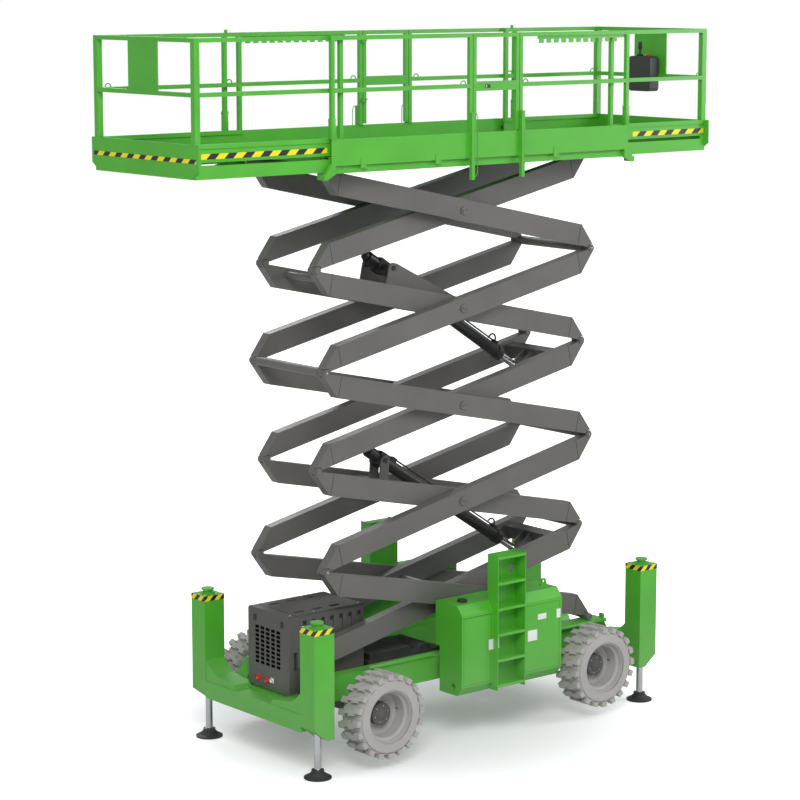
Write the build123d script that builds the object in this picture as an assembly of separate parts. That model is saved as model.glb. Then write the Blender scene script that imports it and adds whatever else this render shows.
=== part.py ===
from build123d import *
from math import asin, cos, degrees, radians, sin
import os

# Electric rough-terrain scissor lift, raised, standing on its four jack legs.
# X runs along the machine, Y across it and Z up. Sizes are millimetres.
# Places along X are counted from the middle between the outrigger columns,
# and place() shifts the finished machine so that its bounding box is centred.

# Chassis, outriggers and jack legs
WHEEL_BASE = 2860
AXLE_OFFSET = -30
WHEEL_LIFT = 112
BEAM_Y_IN = 440
BEAM_Y_OUT = 600
BEAM_BOTTOM = 610
BEAM_TOP = 852
CROSS_TOP = 675
CROSS_HEIGHT = 120
CROSS_X = (-1130, -60, 260, 1010)
END_CROSS_X = (-1975, 1975)
COLUMN_X_OUT = 2278
COLUMN_Y_OUT = 1016
COLUMN_DX = 239
COLUMN_DY = 228
COLUMN_TOP = 1487
COLUMN_BOTTOM = 386
END_BEAM_BOTTOM = 445
END_BEAM_TOP = 620
JACK_ROD_R = 35
JACK_PAD_R = 135
JACK_ROD_TOP = 980
GLAND_CLEARANCE = 0.05

# Wheels
TYRE_R = 419
TYRE_WIDTH = 305
TYRE_FACE_Y = 1163
LUG_DEPTH = 38
LUG_COUNT = 20
LUG_SWEEP = -4
SIDEWALL_R = 357
RIM_BEAD_R = 254
FLANGE_R = 274
FLANGE_WIDTH = 12
BEAD_SEAT_W = 128
HUB_R = 112
KINGPIN_Y = 790

# Scissor stack
STAGES = 5
ARM_PIN_LENGTH = 3594
LIFT_ANGLE = 15.755
PIVOT_X = -1797
PIVOT_Z = 933.5
ARM_DEPTH = 215
ARM_THICKNESS = 110
PIN_INSET = 4.5
OUTER_ARM_FACE_Y = 599.5
INNER_ARM_FACE_Y = 471.5
KNUCKLE_R = 40
KNUCKLE_GAP = 6
JOINT_PIN_R = 25
CENTRE_PIN_R = 30
RUNNING_FIT = 0.05
SIDE_GAP = 5
TIP_CHAMFER = 185
TUBE_R = 45
ROLLER_R = 38
ROLLER_WIDTH = 40
ROLLER_SEAT = 0.3
RAIL_END_X = 1862

# Lift cylinders
CYL_LOW_EYE = (1180, 1620)
CYL_TOP_EYE = (-660, 2810)
CYL_BARREL_R = 62
CYL_ROD_R = 38
CYL_EYE_R = 55
CYL_EYE_WIDTH = 90
CYL_PIN_R = 25
CYL_TAIL = 190

# Boxes on the chassis
POWER_X = (-2070, -1140)
POWER_HALF_Y = 335
POWER_TOP = 1458
TANK_X = (-447, 900)
TANK_Y = (625, 1030)
TANK_Z = (515, 1435)
TANK_NOTCH = (688, 985)
TANK_CHAMFER = (75, 90)
TRAY_X = (-1066, -124)
TRAY_HALF_Y = 320
TRAY_TOP = 905
LADDER_X = (-33, 340)
LADDER_FRONT_Y = 1100
LADDER_DEPTH = 160
LADDER_TOP = 1908
LADDER_BOTTOM = 523
RUNG_PITCH = 263

# Platform
DECK_X = (-1936, 1904)
DECK_HALF_Y = 877
PANEL_Z = (5860, 6108)
DECK_FLOOR_TOP = 5945
DECK_PLATE = 8
DECK_SLIDE_GAP = 8
SLIDE_FIT = 0.3
RAIL = 40
RAIL_TOP = 7064
MID_RAIL_TOP = 6578
EXT_HALF_Y = 825
EXT_LEFT_END = -3444
EXT_RIGHT_END = 3081
EXT_BEAM_Z = (5800, 5921)
EXT_TOP_Z = 6115
EXT_POST = 60
END_PLATE = 8
GATE_X = (-195, 400)
GATE_GAP = 8
HINGE_Z = (6340, 6940)
HINGE_R = 14
HINGE_PIN_R = 8
GATE_BAR_Z = (6508, 6599)
SLEEVE_Z = (5652, 6303)
CLEAT_X = (-1560, -640, 900)

ORIGIN_X = -(EXT_LEFT_END + EXT_RIGHT_END) / 2

PIN_OFFSET = ARM_DEPTH / 2 + PIN_INSET
BODY_LENGTH = (ARM_PIN_LENGTH**2 - (2 * PIN_OFFSET) ** 2) ** 0.5
BODY_TILT = LIFT_ANGLE - degrees(asin(2 * PIN_OFFSET / ARM_PIN_LENGTH))
STAGE_RUN = ARM_PIN_LENGTH * cos(radians(LIFT_ANGLE))
STAGE_RISE = ARM_PIN_LENGTH * sin(radians(LIFT_ANGLE))
LEFT_X = PIVOT_X
RIGHT_X = PIVOT_X + STAGE_RUN
TOP_PIN_Z = PIVOT_Z + STAGES * STAGE_RISE
RAIL_SEAT_Z = PIVOT_Z - ROLLER_R - ROLLER_SEAT
WHEEL_Z = TYRE_R + WHEEL_LIFT
WHEEL_X = (AXLE_OFFSET - WHEEL_BASE / 2, AXLE_OFFSET + WHEEL_BASE / 2)

os.makedirs("parts", exist_ok=True)
nodes = {}


def keep(name, shape):
    nodes[name] = shape
    return shape


def box(x0, x1, y0, y1, z0, z1):
    size = (abs(x1 - x0), abs(y1 - y0), abs(z1 - z0))
    middle = ((x0 + x1) / 2, (y0 + y1) / 2, (z0 + z1) / 2)
    return Pos(*middle) * Box(*size)


def mirrored_y(shape):
    return mirror(shape, about=Plane.XZ)


def slab_xz(points, y0, y1):
    """Outline in X and Z, thick from y0 to y1."""
    low, high = sorted((y0, y1))
    face = Plane.XZ * make_face(Polyline(*points, close=True))
    return Pos(0, high, 0) * extrude(face, high - low)


def slab_yz(points, x0, x1):
    """Outline in Y and Z, thick from x0 to x1."""
    low, high = sorted((x0, x1))
    face = Plane.YZ * make_face(Polyline(*points, close=True))
    return Pos(low, 0, 0) * extrude(face, high - low)


def rod_y(x, z, radius, y0, y1):
    low, high = sorted((y0, y1))
    return Pos(x, (low + high) / 2, z) * Rot(90, 0, 0) * Cylinder(radius, high - low)


def rod_z(x, y, radius, z0, z1):
    return Pos(x, y, (z0 + z1) / 2) * Cylinder(radius, z1 - z0)


def rod_x(y, z, radius, x0, x1):
    return Pos((x0 + x1) / 2, y, z) * Rot(0, 90, 0) * Cylinder(radius, x1 - x0)


def fuse(first, *others):
    shape = first
    for other in others:
        shape = shape + other
    return shape


# Scissor stack. Each frame is drawn lying along X with its lower pin at
# (0, -PIN_OFFSET), then tilted, mirrored for a frame that rises to the left,
# and set on its lower pin.

EAR = (0, 32)
TANG_CLEARANCE = 5


def arm_outline():
    half = ARM_DEPTH / 2
    tip = KNUCKLE_R * 0.85
    low_end = [(TIP_CHAMFER, half), (-tip, -half + 22), (-tip + 4, -half)]
    high_end = [(BODY_LENGTH - x, -n) for x, n in low_end]
    return low_end + high_end


def arm_end_ranges(face_y):
    """Ranges across the arm of its two fork ears and of the tang between them."""
    inside = face_y - ARM_THICKNESS
    ear = EAR[1]
    ears = [(inside, inside + ear), (face_y - ear, face_y)]
    tang = (inside + ear + TANG_CLEARANCE, face_y - ear - TANG_CLEARANCE)
    slot = (inside + ear, face_y - ear)
    return ears, tang, slot


def arm(face_y, lower_end, upper_end):
    """One arm on the +Y side. An end is a tang, a fork or a plain eye."""
    inside = face_y - ARM_THICKNESS
    body = slab_xz(arm_outline(), inside, face_y)
    ears, tang, slot = arm_end_ranges(face_y)
    ends = [(lower_end, 0, -PIN_OFFSET), (upper_end, BODY_LENGTH, PIN_OFFSET)]
    for kind, x, n in ends:
        if kind == "tang":
            for low, high in ears:
                body = body - rod_y(x, n, KNUCKLE_R + KNUCKLE_GAP, low - 1, high + TANG_CLEARANCE)
            body = body - rod_y(x, n, KNUCKLE_R + KNUCKLE_GAP, ears[1][0] - TANG_CLEARANCE, face_y + 1)
            body = body + rod_y(x, n, KNUCKLE_R, *tang)
        elif kind == "fork":
            body = body - rod_y(x, n, KNUCKLE_R + KNUCKLE_GAP, *slot)
            for low, high in ears:
                body = body + rod_y(x, n, KNUCKLE_R, low, high)
        else:
            body = body + rod_y(x, n, ROLLER_R - 5, inside, face_y)
        body = body - rod_y(x, n, JOINT_PIN_R + RUNNING_FIT, inside - 1, face_y + 1)
    return body


def joint_pin(x, n, face_y, tube):
    """Pin of a knuckle joint, with its outer head, and the tube across the frame."""
    inside = face_y - ARM_THICKNESS
    head_r = JOINT_PIN_R + 9
    shank = rod_y(x, n, JOINT_PIN_R, inside - 1, face_y + 8)
    head = rod_y(x, n, head_r, face_y, face_y + 8)
    pin = shank + head
    if tube:
        return fuse(pin, mirrored_y(pin), rod_y(x, n, TUBE_R, -inside, inside))
    inner_head = rod_y(x, n, head_r, inside - 8, inside)
    pin = pin + inner_head
    return Compound([pin, mirrored_y(pin)])


def local_centre():
    return BODY_LENGTH / 2, 0


def scissor_frame(kind, stage):
    """Inner frames of odd stages and outer frames of even stages rise to the right."""
    outer = kind == "outer"
    face_y = OUTER_ARM_FACE_Y if outer else INNER_ARM_FACE_Y
    inside = face_y - ARM_THICKNESS
    lower_end = "eye" if stage == 1 else "tang"
    upper_end = "eye" if stage == STAGES else "fork"
    side = arm(face_y, lower_end, upper_end)
    centre_x, centre_n = local_centre()
    if outer:
        side = side - rod_y(centre_x, centre_n, CENTRE_PIN_R + RUNNING_FIT, inside - 1, face_y + 1)
    else:
        pin = rod_y(centre_x, centre_n, CENTRE_PIN_R, inside, OUTER_ARM_FACE_Y + 12)
        head = rod_y(centre_x, centre_n, CENTRE_PIN_R + 12, OUTER_ARM_FACE_Y + 0.5, OUTER_ARM_FACE_Y + 12)
        collar = rod_y(centre_x, centre_n, 50, face_y, OUTER_ARM_FACE_Y - ARM_THICKNESS - SIDE_GAP)
        side = fuse(side, pin, head, collar)
    frame = fuse(side, mirrored_y(side))

    rises_right = (kind == "inner") == (stage % 2 == 1)
    top_is_left = not rises_right
    over_power_box = top_is_left and PIVOT_Z + stage * 263 < POWER_TOP + TUBE_R + 20
    if upper_end == "fork":
        open_end = not outer and stage in (3, 4)
        frame = frame + joint_pin(BODY_LENGTH, PIN_OFFSET, face_y, not over_power_box and not open_end)
    if not outer and stage == 4:
        frame = frame + rod_y(BODY_LENGTH - 275, 40, TUBE_R - 10, -inside, inside)
    if not outer and stage in (1, STAGES):
        frame = frame + rod_y(centre_x, centre_n, TUBE_R, -inside, inside)
    if outer and stage == 1:
        frame = frame + roller_axle(0, -PIN_OFFSET, face_y + SIDE_GAP, face_y)
    if not outer and stage == STAGES:
        frame = frame + roller_axle(BODY_LENGTH, PIN_OFFSET, inside - SIDE_GAP - ROLLER_WIDTH, face_y)
    if outer and stage == STAGES:
        frame = frame + deck_pin(BODY_LENGTH, PIN_OFFSET, face_y)
    if not outer and stage in (1, 3):
        frame = frame + cylinder_foot(stage)
    if not outer and stage in (2, 4):
        frame = frame + cylinder_lever(stage)
    return place_frame(frame, stage, rises_right)


def roller_axle(x, n, roller_y, face_y):
    reach = max(roller_y + ROLLER_WIDTH, face_y)
    axle = rod_y(x, n, JOINT_PIN_R, -reach, reach)
    tube = rod_y(x, n, ROLLER_R - 8, -(face_y - ARM_THICKNESS), face_y - ARM_THICKNESS)
    roller = rod_y(x, n, ROLLER_R, roller_y, roller_y + ROLLER_WIDTH)
    spacer_low = min(roller_y, face_y - 1)
    spacer = rod_y(x, n, ROLLER_R - 8, spacer_low, max(face_y, roller_y))
    return fuse(axle, tube, roller, mirrored_y(roller), spacer, mirrored_y(spacer))


def deck_pin(x, n, face_y):
    inside = face_y - ARM_THICKNESS
    pin = rod_y(x, n, JOINT_PIN_R, inside, face_y + 32)
    head = rod_y(x, n, JOINT_PIN_R + 9, face_y + 25, face_y + 33)
    side = pin + head
    return fuse(side, mirrored_y(side), rod_y(x, n, TUBE_R, -inside, inside))


def place_frame(frame, stage, rises_right):
    tilted = Rot(0, -BODY_TILT, 0) * Pos(0, 0, PIN_OFFSET) * frame
    start_x = LEFT_X
    if not rises_right:
        tilted = mirror(tilted, about=Plane.YZ)
        start_x = RIGHT_X
    return Pos(start_x, 0, PIVOT_Z + (stage - 1) * STAGE_RISE) * tilted


def to_local(point, stage, rises_right):
    """World X, Z of a point on a frame, turned back into that frame's own outline."""
    start_x = LEFT_X if rises_right else RIGHT_X
    dx = point[0] - start_x
    if not rises_right:
        dx = -dx
    dz = point[1] - PIVOT_Z - (stage - 1) * STAGE_RISE
    tilt = radians(BODY_TILT)
    along = dx * cos(tilt) + dz * sin(tilt)
    up = -dx * sin(tilt) + dz * cos(tilt)
    return along, up - PIN_OFFSET


CLEVIS_IN = CYL_EYE_WIDTH / 2 + 3
CLEVIS_OUT = CLEVIS_IN + 20


def cylinder_foot(stage):
    """Clevis that holds the rod's eye, on a cross beam between the inner arms."""
    inside = INNER_ARM_FACE_Y - ARM_THICKNESS
    eye = (CYL_LOW_EYE[0], CYL_LOW_EYE[1] + (stage - 1) * STAGE_RISE)
    x, n = to_local(eye, stage, True)
    beam_x = x + 260
    beam = box(beam_x - 60, beam_x + 60, -inside, inside, -70, 70)
    outline = [(x, n - 45), (beam_x + 40, -60), (beam_x + 40, 60), (beam_x - 60, 65), (x, n + 45)]
    cheek = slab_xz(outline, CLEVIS_IN, CLEVIS_OUT) + rod_y(x, n, 45, CLEVIS_IN, CLEVIS_OUT)
    cheek = cheek + rod_y(x, n, CYL_PIN_R + 9, CLEVIS_OUT, CLEVIS_OUT + 8)
    return fuse(beam, cheek, mirrored_y(cheek))


def lever_plate(stage):
    """Inner and outer face of one lever plate, measured from the middle of the machine."""
    return (CYL_BARREL_R + 8, CYL_BARREL_R + 28) if stage == 2 else (200, 220)


def cylinder_lever(stage):
    """Raised lever plates that carry the barrel's pins above the inner arms."""
    inside = INNER_ARM_FACE_Y - ARM_THICKNESS
    low, high = lever_plate(stage)
    eye = (CYL_TOP_EYE[0], CYL_TOP_EYE[1] + (stage - 2) * STAGE_RISE)
    x, n = to_local(eye, stage, False)
    beam = box(x - 105, x + 20, -inside, inside, -60, 70)
    if stage == 2:
        outline = [(x - 50, n), (x - 95, 0), (x + 15, 0), (x + 55, n - 30), (x + 50, n)]
    else:
        outline = [(x + 50, n + 6), (x + 50, 40), (x - 100, 0), (x - 640, 40), (x - 860, 88)]
        outline += [(x - 850, 112), (x - 30, n + 50)]
    cheek = slab_xz(outline, low, high) + rod_y(x, n, 50, low, high)
    cheek = cheek - rod_y(x, n, CYL_PIN_R + RUNNING_FIT, low - 1, high + 1)
    lever = fuse(beam, cheek, mirrored_y(cheek))
    if stage != 2:
        tie = box(x - 640, x - 560, low, inside, -50, 60)
        lever = fuse(lever, tie, mirrored_y(tie))
    return lever


for number in range(1, STAGES + 1):
    keep(f"inner_frame_{number}", scissor_frame("inner", number))
    keep(f"outer_frame_{number}", scissor_frame("outer", number))


def lift_cylinder(stage):
    """Barrel hangs from the lever of the stage above; its rod points down to the foot."""
    low = Vector(CYL_LOW_EYE[0], 0, CYL_LOW_EYE[1])
    top = Vector(CYL_TOP_EYE[0], 0, CYL_TOP_EYE[1])
    span = (low - top).length
    lean = degrees(asin((top.Z - low.Z) / span))
    barrel_end = span - 290
    half = CYL_EYE_WIDTH / 2
    reach = lever_plate(stage)[1] + 10
    barrel = rod_x(0, 0, CYL_BARREL_R, -CYL_TAIL, barrel_end)
    gland = rod_x(0, 0, CYL_BARREL_R + 10, barrel_end - 70, barrel_end)
    eye = Pos(0, 0, 0) * Box(130, 2 * CYL_BARREL_R + 10, 2 * CYL_BARREL_R + 14)
    tail = rod_x(0, 0, CYL_BARREL_R - 18, -CYL_TAIL - 40, -CYL_TAIL)
    pin = rod_y(0, 0, CYL_PIN_R, -reach, reach)
    bore = rod_x(0, 0, CYL_ROD_R + GLAND_CLEARANCE, 80, barrel_end + 1)
    port_low = Pos(160, 0, CYL_BARREL_R + 12) * Box(60, 50, 40)
    port_high = Pos(barrel_end - 130, 0, CYL_BARREL_R + 12) * Box(60, 50, 40)
    pipe = rod_x(0, CYL_BARREL_R + 20, 9, 160, barrel_end - 130)
    barrel = fuse(barrel, gland, eye, tail, port_low, port_high, pipe) - bore
    barrel = barrel + pin
    rod = rod_x(0, 0, CYL_ROD_R, 300, span)
    rod_eye = rod_y(span, 0, CYL_EYE_R, -half, half) + rod_x(0, 0, 46, span - 75, span - 20)
    rod_pin = rod_y(span, 0, CYL_PIN_R, -half - 1.5, half + 1.5)
    rod = fuse(rod, rod_eye, rod_pin)
    lift = (stage - 2) * STAGE_RISE
    where = Pos(top.X, 0, top.Z + lift) * Rot(0, lean, 0)
    return where * barrel, where * rod


for name, number in (("lower", 2), ("upper", 4)):
    barrel_shape, rod_shape = lift_cylinder(number)
    keep(f"lift_barrel_{name}", barrel_shape)
    keep(f"lift_rod_{name}", rod_shape)


# Chassis frame: two long box beams, cross members, the scissor's pivot brackets
# and the rails that the lowest rollers run on.

def chassis_frame():
    end_x = COLUMN_X_OUT - COLUMN_DX
    high_x = end_x - 130
    outline = [(-end_x, END_BEAM_BOTTOM + 40), (-high_x + 60, END_BEAM_BOTTOM + 40), (-high_x + 140, BEAM_BOTTOM)]
    outline += [(high_x - 140, BEAM_BOTTOM), (high_x - 60, END_BEAM_BOTTOM + 40), (end_x, END_BEAM_BOTTOM + 40)]
    outline += [(end_x, END_BEAM_TOP + 25), (high_x, BEAM_TOP), (-high_x, BEAM_TOP), (-end_x, END_BEAM_TOP + 25)]
    beam = slab_xz(outline, BEAM_Y_IN, BEAM_Y_OUT)
    rail_in = OUTER_ARM_FACE_Y - ARM_THICKNESS
    rail_out = OUTER_ARM_FACE_Y + SIDE_GAP + ROLLER_WIDTH + 15
    rail = box(60, RAIL_END_X, rail_in, rail_out, BEAM_TOP, RAIL_SEAT_Z)
    stop = box(RAIL_END_X - 22, RAIL_END_X, rail_out - 60, rail_out, RAIL_SEAT_Z, RAIL_SEAT_Z + 45)
    guide = rod_x(rail_out, RAIL_SEAT_Z - 22, 21, 60, RAIL_END_X + 14)
    left_bar = rod_x(BEAM_Y_OUT, RAIL_SEAT_Z - 22, 21, -1290, -470)
    side = fuse(beam, rail, stop, guide, left_bar)
    for y_low, y_high in pivot_ears():
        side = fuse(side, pivot_ear(y_low, y_high))
    side = fuse(side, rod_y(LEFT_X, PIVOT_Z, JOINT_PIN_R, pivot_ears()[0][0], pivot_ears()[1][1]))
    return Compound([mirrored_y(side), side])


def cross_members():
    """Box tubes between the two beams; the inner ones carry feet under the beams."""
    members = []
    for x in CROSS_X + END_CROSS_X:
        member = box(x - 64, x + 64, -BEAM_Y_IN, BEAM_Y_IN, CROSS_TOP - CROSS_HEIGHT, CROSS_TOP)
        if x in CROSS_X:
            foot = box(x - 64, x + 64, BEAM_Y_IN, BEAM_Y_OUT, CROSS_TOP - CROSS_HEIGHT, BEAM_BOTTOM)
            member = fuse(member, foot, mirrored_y(foot))
        members.append(member)
    return Compound(members)


def pivot_ears():
    inside = INNER_ARM_FACE_Y - ARM_THICKNESS
    return (inside - SIDE_GAP - 12, inside - SIDE_GAP), (INNER_ARM_FACE_Y + SIDE_GAP, INNER_ARM_FACE_Y + 23)


def pivot_ear(y_low, y_high):
    top = PIVOT_Z + 5
    outline = [(LEFT_X - 110, BEAM_BOTTOM), (LEFT_X + 110, BEAM_BOTTOM), (LEFT_X + 110, BEAM_TOP)]
    outline += [(LEFT_X + 42, top), (LEFT_X - 42, top), (LEFT_X - 110, BEAM_TOP)]
    ear = slab_xz(outline, y_low, y_high) + rod_y(LEFT_X, PIVOT_Z, 46, y_low, y_high)
    if y_low < BEAM_Y_IN:
        ear = ear + box(LEFT_X - 110, LEFT_X + 110, y_low, BEAM_Y_IN, BEAM_BOTTOM, CROSS_TOP)
    return ear


keep("chassis_frame", chassis_frame())
keep("chassis_cross_members", cross_members())


def outrigger_frame(side):
    """End beam with its two jack columns; side is -1 at the left end, +1 at the right."""
    inner_x = COLUMN_X_OUT - COLUMN_DX
    column_in = COLUMN_Y_OUT - COLUMN_DY
    beam = box(inner_x, COLUMN_X_OUT, -column_in, column_in, END_BEAM_BOTTOM, END_BEAM_TOP)
    saddle = box(inner_x, inner_x + 60, -BEAM_Y_OUT, BEAM_Y_OUT, END_BEAM_TOP, END_BEAM_TOP + 25)
    knee_points = [(BEAM_Y_IN, END_BEAM_BOTTOM), (column_in, END_BEAM_BOTTOM), (column_in, 835)]
    knee_points += [(705, 762), (620, 712), (325, END_BEAM_TOP + 50), (300, END_BEAM_TOP), (300, END_BEAM_BOTTOM)]
    knee = slab_yz(knee_points, inner_x + 10, COLUMN_X_OUT - 8)
    column_points = [(inner_x, COLUMN_BOTTOM), (COLUMN_X_OUT - 155, COLUMN_BOTTOM)]
    column_points += [(COLUMN_X_OUT, 503), (COLUMN_X_OUT, COLUMN_TOP), (inner_x, COLUMN_TOP)]
    column = slab_xz(column_points, column_in, COLUMN_Y_OUT)
    jack_x, jack_y = jack_centre()
    cavity = rod_z(jack_x, jack_y, JACK_ROD_R + 8, COLUMN_BOTTOM + 60, 1400)
    gland = rod_z(jack_x, jack_y, JACK_ROD_R + GLAND_CLEARANCE, COLUMN_BOTTOM - 1, COLUMN_BOTTOM + 61)
    column = column - cavity - gland
    seat = rod_z(jack_x, jack_y, 72, COLUMN_TOP, COLUMN_TOP + 12)
    neck = rod_z(jack_x, jack_y, 45, COLUMN_TOP, COLUMN_TOP + 40)
    cap = rod_z(jack_x, jack_y, 64, COLUMN_TOP + 40, COLUMN_TOP + 56)
    column = fuse(column, seat, neck, cap)
    frame = fuse(beam, saddle, knee, mirrored_y(knee), column, mirrored_y(column))
    return frame if side > 0 else mirror(frame, about=Plane.YZ)


def jack_centre():
    return COLUMN_X_OUT - COLUMN_DX / 2, COLUMN_Y_OUT - COLUMN_DY / 2


keep("outrigger_frame_left", outrigger_frame(-1))
keep("outrigger_frame_right", outrigger_frame(1))


def jack_leg():
    """Chromed rod with a dished foot pad, its rest at the rod's axis."""
    profile = [(0, 0), (JACK_PAD_R, 0), (JACK_PAD_R, 14), (100, 30), (62, 62), (62, 84)]
    profile += [(JACK_ROD_R, 92), (JACK_ROD_R, JACK_ROD_TOP), (0, JACK_ROD_TOP)]
    return revolve(Plane.XZ * make_face(Polyline(*profile, close=True)), Axis.Z)


for end_name, x_sign in (("left", -1), ("right", 1)):
    for side_name, y_sign in (("near", -1), ("far", 1)):
        foot_x, foot_y = jack_centre()
        keep(f"jack_leg_{end_name}_{side_name}", Pos(x_sign * foot_x, y_sign * foot_y, 0) * jack_leg())


def power_box():
    x0, x1 = POWER_X
    shell = box(x0, x1, -POWER_HALF_Y, POWER_HALF_Y, CROSS_TOP, POWER_TOP)
    shell = chamfer(shell.edges().filter_by(Axis.X).group_by(Axis.Z)[-1], 18)
    lid_gap = box(x0 + 95, x0 + 107, -POWER_HALF_Y - 1, POWER_HALF_Y + 1, POWER_TOP - 12, POWER_TOP + 1)
    shell = shell - lid_gap
    grille = [box(x0 - 1, x0 + 35, 12 + 87 * column - 31, 12 + 87 * column + 31, z - 16, z + 16)
              for column in range(-2, 3) for z in range(918, 1271, 44)]
    side_slots = []
    for index in range(7):
        x = x0 + 172 + 112 * index
        side_slots.append(box(x, x + 46, -POWER_HALF_Y - 1, -POWER_HALF_Y + 30, 1352, 1396))
        side_slots.append(box(x + 38, x + 46, -POWER_HALF_Y - 1, -POWER_HALF_Y + 12, 1235, 1353))
    far_slots = [mirrored_y(slot) for slot in side_slots]
    lid_slots = [box(x, x + 120, y - 24, y + 24, POWER_TOP - 25, POWER_TOP + 1)
                 for x in (x0 + 160, x0 + 380, x0 + 600) for y in (-210, 210)]
    pocket = box(x0 + 60, x0 + 100, -POWER_HALF_Y - 1, -POWER_HALF_Y + 40, 905, 1090)
    return shell - grille - side_slots - far_slots - lid_slots - pocket


keep("power_box", power_box())


def service_tray():
    """Dark tray between the beams that carries the batteries and the hydraulic pack."""
    x0, x1 = TRAY_X
    tray = box(x0, x1, -TRAY_HALF_Y, TRAY_HALF_Y, CROSS_TOP, TRAY_TOP - 60)
    tray = tray + box(x0 + 30, x0 + 560, -TRAY_HALF_Y + 20, TRAY_HALF_Y - 20, TRAY_TOP - 60, TRAY_TOP)
    motor = rod_y(x0 + 760, TRAY_TOP - 90, 85, -TRAY_HALF_Y + 30, TRAY_HALF_Y - 200)
    return tray + motor


keep("service_tray", service_tray())


def side_tank():
    """Battery and oil tank on the +Y side, with the ladder's recess in its face."""
    low_y, high_y = TANK_Y
    low_z, high_z = TANK_Z
    cut_y, cut_z = TANK_CHAMFER
    notch_y, notch_z = TANK_NOTCH
    outline = [(notch_y, low_z), (high_y - cut_y, low_z), (high_y, low_z + cut_z)]
    outline += [(high_y, high_z - cut_z), (high_y - cut_y, high_z), (low_y, high_z)]
    outline += [(low_y, notch_z), (notch_y, notch_z)]
    tank = slab_yz(outline, *TANK_X)
    back = LADDER_FRONT_Y - LADDER_DEPTH
    recess = box(LADDER_X[0], LADDER_X[1], back, high_y + 1, low_z - 1, high_z + 1)
    eye_x = TANK_X[1] - 75
    lug = slab_xz([(eye_x - 45, high_z), (eye_x + 45, high_z), (eye_x + 20, high_z + 75),
                   (eye_x - 20, high_z + 75)], 820, 840)
    lug = lug - rod_y(eye_x, high_z + 45, 17, 819, 841)
    arm_low = box(-200, -60, BEAM_Y_OUT, notch_y, 640, 760)
    arm_high = box(560, 700, BEAM_Y_OUT, notch_y, 640, 760)
    port = rod_x(high_y - 130, low_z + 85, 30, TANK_X[0] - 1, TANK_X[0] + 40)
    return fuse(tank - recess - port, lug, arm_low, arm_high)


def ladder():
    x0, x1 = LADDER_X
    back = LADDER_FRONT_Y - LADDER_DEPTH
    sheet = 8
    cheek = box(x0, x0 + sheet, back, LADDER_FRONT_Y, LADDER_BOTTOM, LADDER_TOP)
    other = box(x1 - sheet, x1, back, LADDER_FRONT_Y, LADDER_BOTTOM, LADDER_TOP)
    spine = box(x0, x1, back, back + sheet, LADDER_BOTTOM, LADDER_TOP)
    frame = fuse(cheek, other, spine)
    for z in (LADDER_TOP - 215, LADDER_TOP - 175):
        frame = frame - Pos(x1 - 62, back, z) * Rot(90, 0, 0) * Cylinder(24, 3 * sheet)
    frame = frame - box(x1 - 86, x1 - 38, back - 1, back + sheet + 1, LADDER_TOP - 215, LADDER_TOP - 175)
    steps = int((LADDER_TOP - LADDER_BOTTOM) / RUNG_PITCH) + 1
    for step in range(steps):
        z = LADDER_TOP - 12 - step * RUNG_PITCH
        frame = frame + box(x0, x1, back + 60, LADDER_FRONT_Y, z - 28, z)
        frame = frame - box(x0 + sheet, x1 - sheet, back + 66, LADDER_FRONT_Y - 6, z - 29, z - 6)
    return frame


for side_name, turn in (("near", True), ("far", False)):
    for piece_name, shape in (("side_tank", side_tank()), ("ladder", ladder())):
        keep(f"{piece_name}_{side_name}", mirrored_y(shape) if turn else shape)


# Axles, steering knuckles and wheels

AXLE_HALF = 68
HUB_FACE_Y = TYRE_FACE_Y - 215


def steer_axle():
    x = WHEEL_X[0]
    tube = box(x - 62, x + 62, -KINGPIN_Y + 95, KINGPIN_Y - 95, WHEEL_Z - AXLE_HALF, WHEEL_Z + AXLE_HALF)
    saddle = box(x - 110, x + 110, 330, BEAM_Y_OUT - 10, WHEEL_Z + AXLE_HALF, BEAM_BOTTOM)
    axle = fuse(tube, saddle, mirrored_y(saddle))
    for low, high in ((WHEEL_Z - 95, WHEEL_Z - 55), (WHEEL_Z + 55, WHEEL_Z + 95)):
        ear = box(x - 50, x + 50, KINGPIN_Y - 100, KINGPIN_Y, low, high)
        ear = ear + rod_z(x, KINGPIN_Y, 50, low, high)
        ear = ear - rod_z(x, KINGPIN_Y, 22 + RUNNING_FIT, low - 1, high + 1)
        axle = fuse(axle, ear, mirrored_y(ear))
    web = box(x - 50, x + 50, KINGPIN_Y - 100, KINGPIN_Y - 72, WHEEL_Z - 95, WHEEL_Z + 95)
    return fuse(axle, web, mirrored_y(web))


def drive_axle():
    x = WHEEL_X[1]
    tube = box(x - 62, x + 62, -HUB_FACE_Y + 90, HUB_FACE_Y - 90, WHEEL_Z - AXLE_HALF, WHEEL_Z + AXLE_HALF)
    saddle = box(x - 110, x + 110, 330, BEAM_Y_OUT - 10, WHEEL_Z + AXLE_HALF, BEAM_BOTTOM)
    spindle = rod_y(x, WHEEL_Z, 45, HUB_FACE_Y - 90, HUB_FACE_Y + 40)
    drive = rod_y(x, WHEEL_Z, 105, HUB_FACE_Y - 130, HUB_FACE_Y - 60)
    return fuse(tube, saddle, mirrored_y(saddle), spindle, mirrored_y(spindle), drive, mirrored_y(drive))


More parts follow.
